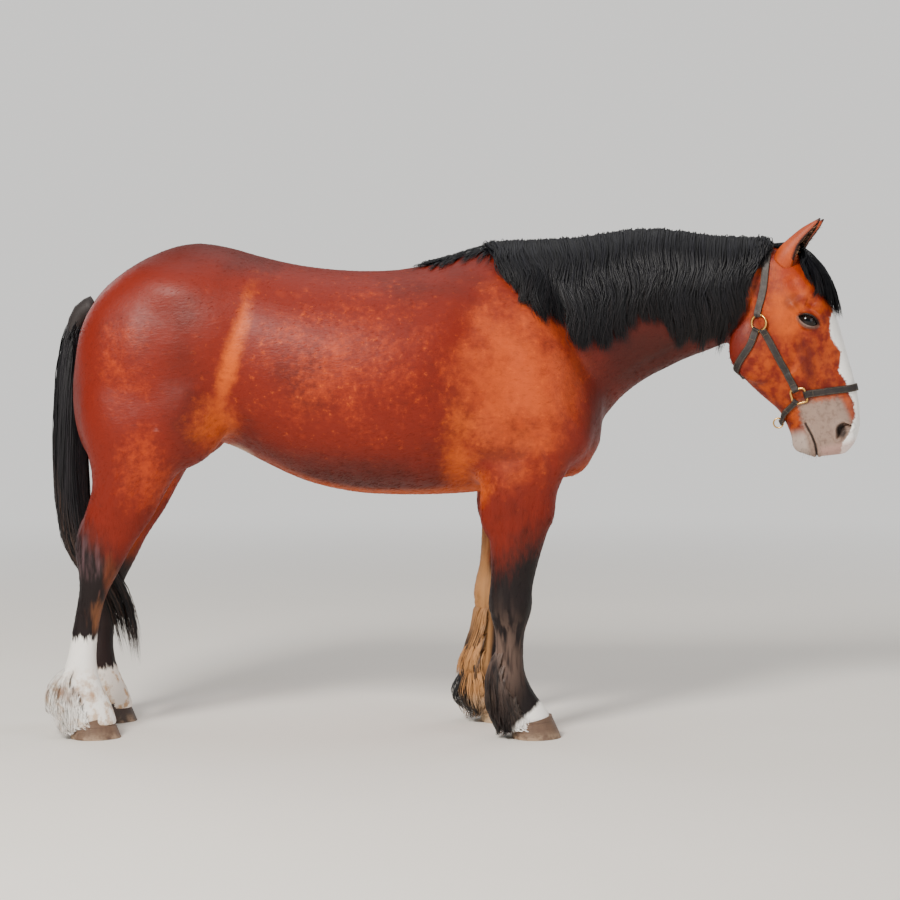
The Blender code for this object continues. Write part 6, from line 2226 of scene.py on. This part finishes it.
def stitch_along(line, width):
    """Keeps places for stitches: two rows along the edges of a strap."""
    lengths = [0.0]
    for low, high in zip(line, line[1:]):
        lengths.append(lengths[-1] + (high[0] - low[0]).length)
    for k in range(int(lengths[-1] / STITCH_STEP)):
        at = (k + 0.5) * STITCH_STEP
        i = int(np.searchsorted(lengths, at)) - 1
        f = (at - lengths[i]) / max(lengths[i + 1] - lengths[i], 1e-6)
        p = line[i][0].lerp(line[i + 1][0], f)
        _, along, across, out = line[i]
        for edge in (-1, 1):
            spot = p + across * edge * (width / 2 - STITCH_INSET) + out * (STRAP_THICK + STITCH_LIFT)
            STITCHES.append((spot, along, across, out))


def stitch_across(line, i):
    """A row of stitches across a strap, where its turned end is sewn down."""
    p, along, across, out = line[i]
    for k in range(-2, 3):
        spot = p + across * k * 0.0036 + out * (STRAP_THICK + STITCH_LIFT)
        STITCHES.append((spot, across, along, out))


def add_strap(name, stops, material, ends=2, width=STRAP_WIDTH):
    line = strap_line(stops)
    shapes = [strap_shape(line, i, width) for i in range(len(line))]
    piece = object_from(loft(shapes, STRAP_SIDES), f"{name}_leather")
    around = np.arange(len(piece.data.vertices)) % STRAP_SIDES / STRAP_SIDES * math.tau
    keep(piece, "edge", np.abs(np.cos(around)) ** 3)
    stitch_along(line, width)
    if ends:
        stitch_across(line, SEWN_AT)
    if ends == 2:
        stitch_across(line, len(line) - 1 - SEWN_AT)
    hand_over(moved_to_frame(piece), material, "halter_leather", name)


def to_side(stops, side):
    return tuple((s, t, ds, dt, -side * dy, lift) for s, t, ds, dt, dy, lift in stops)


def cheek_stops():
    """From over the ring, down the cheek, to over the square."""
    low, high = Vector(CHEEK_RING), Vector(NOSE_SQUARE)
    between_rings = tuple((*low.lerp(high, f), 0, 0, -1, LIFT) for f in (0.20, 0.40, 0.60, 0.80))
    top = over_ring(between_rings, CHEEK_RING, RING_RADIUS)
    bottom = over_ring(between_rings[::-1], NOSE_SQUARE, SQUARE_RADIUS)
    return top + between_rings + bottom[::-1]


def add_straps():
    brown = leather("halter_brown", srgb(26, 20, 18), srgb(48, 38, 34))
    grey = leather("halter_grey", srgb(58, 52, 50), srgb(86, 78, 74))
    crown = over_ring(CROWN, CHEEK_RING, RING_RADIUS) + CROWN[1:]
    throat = over_ring(THROAT, CHEEK_RING, RING_RADIUS) + THROAT[1:]
    nose = over_ring(NOSEBAND, NOSE_SQUARE, SQUARE_RADIUS) + NOSEBAND[1:]
    chin = over_ring(CHIN, NOSE_SQUARE, SQUARE_RADIUS) + CHIN[1:]
    add_strap("halter_crown", mirrored(crown), grey)
    add_strap("halter_throat", mirrored(throat), brown)
    add_strap("halter_noseband", mirrored(nose), brown)
    add_strap("halter_chin", mirrored(chin), brown, width=CHIN_STRAP_WIDTH)
    for side, name in ((-1, "right"), (1, "left")):
        add_strap(f"halter_cheek_{name}", to_side(cheek_stops(), side), brown)


add_straps()

# %% [markdown]
# Waxed thread holds the edges and the turned ends of the straps. Stitches are small and there are many,
# so each is a coarse ball drawn out along its row, and all are one mesh.


# %% Stitches
def add_stitches():
    bm = bmesh.new()
    for spot, along, across, out in STITCHES:
        turn = Matrix((along, across, out)).transposed().to_4x4()
        size = Matrix.Diagonal((0.0020, 0.0006, 0.0005, 1.0))
        place = Matrix.Translation(spot) @ turn @ size
        bmesh.ops.create_icosphere(bm, subdivisions=1, radius=1.0, matrix=place)
    thread = moved_to_frame(object_from(bm, "halter_stitches"))
    made, shader, p = start("waxed_thread")
    twist = noise(p, 900.0, 2.0, 0.5)
    colour = mix(srgb(96, 78, 58), srgb(150, 128, 98), twist)
    paint(shader, colour, 0.6 + 0.2 * twist, bump(twist, 0.0003, 0.6))
    hand_over(thread, made, "halter_leather")
    print(len(STITCHES), "stitches")


add_stitches()

# %% [markdown]
# Rings and squares are cast brass, with dull patches between the bright ones. Each is a round wire lofted
# along a closed line that lies just clear of the skin. A small ring stands for the snap under the chin.


# %% Brass
CHIN_RING_RADIUS = 0.016
CHIN_RING_WIRE = 0.0026
CHIN_RING_DROP = 0.0240


def brass_material():
    made, shader, p = start("worn_brass")
    dull = noise(p, 120.0, 4.0, 0.65)
    lines = noise(p, 900.0, 2.0, 0.6, stretch=(0.1, 1.0, 1.0))
    feed(shader, "Base Color", mix(srgb(226, 178, 98), srgb(150, 104, 54), rise(dull, 0.50, 0.74)))
    feed(shader, "Metallic", 1.0)
    feed(shader, "Roughness", 0.20 + 0.28 * dull)
    feed(shader, "Normal", bump(lines, 0.0002, 0.4))
    return made


def ring_points(s, t, side, radius, square, count=72):
    """Points of a ring that lies on the cheek, flat and just clear of the skin."""
    near, normal = cast(s, t, Vector((0, side, 0)))
    down = (DOWN_FACE - normal * DOWN_FACE.dot(normal)).normalized()
    aside = normal.cross(down)
    lift = RING_WIRE + 0.0006
    while True:
        points = []
        for k in range(count):
            a = math.tau * (k + 0.5) / count
            c = math.cos(a)
            d = math.sin(a)
            grow = 1 / (abs(c) ** 6 + abs(d) ** 6) ** (1 / 6) if square else 1.0
            points.append(near + normal * lift + (down * c + aside * d) * radius * grow)
        gap = min((p - SKIN_TREE.find_nearest(p)[0]).dot(SKIN_TREE.find_nearest(p)[1]) for p in points)
        if gap > RING_WIRE + 0.0003 or lift > 0.03:
            return points
        lift += 0.0005


def add_ring(name, points, wire, material, node):
    """A closed round wire along points."""
    count = len(points)
    centre = sum(points, Vector()) / count
    shapes = []
    for k in range(count):
        along = (points[(k + 1) % count] - points[k - 1]).normalized()
        out = (points[k] - centre).normalized()
        up = along.cross(out)
        shapes.append(lambda a, p=points[k], o=out, u=up: p + (o * math.cos(a) + u * math.sin(a)) * wire)
    ring = object_from(loft(shapes, 16, closed=True), name)
    hand_over(moved_to_frame(ring), material, "brass", node)


def add_brass():
    brass = brass_material()
    for side, name in ((-1, "right"), (1, "left")):
        cheek = ring_points(*CHEEK_RING, side, RING_RADIUS, False)
        add_ring(f"cheek_ring_{name}", cheek, RING_WIRE, brass, f"halter_ring_{name}")
        square = ring_points(*NOSE_SQUARE, side, SQUARE_RADIUS * 1.06, True)
        add_ring(f"nose_square_{name}", square, RING_WIRE, brass, f"halter_square_{name}")
    down = (head_point(0.15, -1) - head_point(0, 0)).normalized()
    centre = cast(0.568, -0.090, down)[0] + down * CHIN_RING_DROP
    turns = np.linspace(0, math.tau, 49)[:-1]
    points = [centre + Vector((math.cos(a), 0, math.sin(a))) * CHIN_RING_RADIUS for a in turns]
    add_ring("chin_ring", points, CHIN_RING_WIRE, brass, "halter_chin_ring")


add_brass()

# %% [markdown]
# The short coat lies too flat to show hair by hair, but it breaks the outline and dulls the light a
# little. So small tufts, each a strand of three points, lie all over the skin, along the coat: long and
# dense where the form breaks, such as jaw, belly line, elbow and backs of the legs, and short and thin on
# the face.


# %% Tufts of the short coat
def lie_of_coat(places):
    """The way the hair lies: back and down on the trunk, down on the legs, down the face on the head."""
    x, _, z = places.T
    way = np.stack([np.full(len(x), -0.9), np.zeros(len(x)), np.full(len(x), -0.45)], axis=1)
    leg = np.clip((0.95 - z) / 0.2, 0, 1)[:, None]
    way = way * (1 - leg) + np.array((-0.15, 0.0, -1.0)) * leg
    head = (np.clip((x - 1.04) / 0.06, 0, 1) * (z > 0.9))[:, None]
    return way * (1 - head) + np.array(DOWN_FACE) * head


def tuft_length(places):
    s, t, _ = on_head(places)
    head = (places[:, 0] > 1.05) & (places[:, 2] > 0.9)
    body = 0.013 + 0.005 * (places[:, 2] < 0.9)
    face = 0.008 - 0.005 * np.clip((s - 0.05) / 0.5, 0, 1)
    jaw = 0.004 * np.clip((-t - 0.16) / 0.06, 0, 1)
    foot = places[:, 2] < 0.12
    return np.where(head, face + jaw, np.where(foot, 0.007, body))


def rough_places(places, normals):
    """How much more hair a place has: where the form breaks and the outline is seen."""
    under = np.clip(-normals[:, 2], 0, 1) * (places[:, 2] > 0.7)
    back_of_leg = np.clip(-normals[:, 0], 0, 1) * (places[:, 2] < 1.0)
    coronet = (places[:, 2] < 0.13) * 1.0
    return 0.30 + 1.3 * under + 1.2 * back_of_leg + 2.5 * coronet


def sprinkle(count, rng):
    """Roots spread over the skin, with its normal at each."""
    a, b, c = (STRAIGHT_PLACES[SKIN_FACES[:, k]] for k in range(3))
    area = np.linalg.norm(np.cross(b - a, c - a), axis=1)
    middle = (a + b + c) / 3
    flat = unit(np.cross(b - a, c - a))
    head = (middle[:, 0] > 1.08) & (middle[:, 2] > 0.9)
    weight = area * rough_places(middle, flat) * (1 + 1.6 * head)
    weight *= ~((middle[:, 2] < 0.06) | buried(middle))
    at = rng.choice(len(area), count, p=weight / weight.sum())
    u, v = np.sort(rng.uniform(0, 1, (2, count)), axis=0)
    roots = a[at] * u[:, None] + b[at] * (v - u)[:, None] + c[at] * (1 - v)[:, None]
    corners = [STRAIGHT_NORMALS[SKIN_FACES[at, k]] for k in range(3)]
    normal = unit(corners[0] * u[:, None] + corners[1] * (v - u)[:, None] + corners[2] * (1 - v)[:, None])
    return roots, normal


def buried(places):
    """Places that stay bare: eyes, nostrils and lips."""
    bare = np.zeros(len(places), bool)
    for centre in EYES.values():
        bare |= np.linalg.norm(places - np.array(centre), axis=1) < EYE_RADIUS + 0.016
    s, t, _ = on_head(places)
    front = places[:, 0] > 1.05
    apart, _ = off_line(np.stack([s, t], axis=1), NOSTRIL_LINE)
    lips, _ = off_line(np.stack([s, t], axis=1), MOUTH_LINE)
    return bare | (front & (apart < 0.020)) | (front & (lips < 0.008)) | (front & (s > 0.52))


def tuft_material():
    made, shader, p = start("coat_tufts")
    colour = coat_markings(p)[0]
    tone = kept(p, "tone")
    colour = mix(colour, BLACK_POINT, rise(tone, 0.60, 1.0) * 0.10)
    feed(shader, "Base Color", colour)
    feed(shader, "Specular IOR Level", 0.24)
    feed(shader, "Roughness", 0.44 + tone * 0.15)
    return made


TUFT_PIECES = 4
TUFTS = 6500
TUFT_POINTS = 3


def grow_tufts():
    material = tuft_material()
    t = np.linspace(0, 1, TUFT_POINTS)
    for k in range(TUFT_PIECES):
        roots, normal = sprinkle(int(TUFTS * HAIRS), RANDOM)
        lie = lie_of_coat(roots) + RANDOM.normal(0, 0.16, roots.shape)
        lie = unit(lie - normal * np.sum(lie * normal, axis=1, keepdims=True))
        length = tuft_length(roots) * RANDOM.uniform(0.7, 1.3, len(roots))
        stand = length[:, None] * np.array((-0.05, 0.025, 0.035))[None]
        paths = roots[:, None] + lie[:, None] * (t[None, :, None] * length[:, None, None])
        paths = paths + normal[:, None] * stand[..., None]
        widths = (length * 0.15)[:, None] * np.array((1.0, 0.9, 0.2))[None]
        outs = np.repeat(normal[:, None], TUFT_POINTS, axis=1)
        tones = RANDOM.uniform(0, 1, len(roots))
        made = strand_piece(f"coat_{k}", paths, widths, widths * 0.25, outs, tones, unrolled(roots))
        hand_over(made, material, "bay_coat")


grow_tufts()
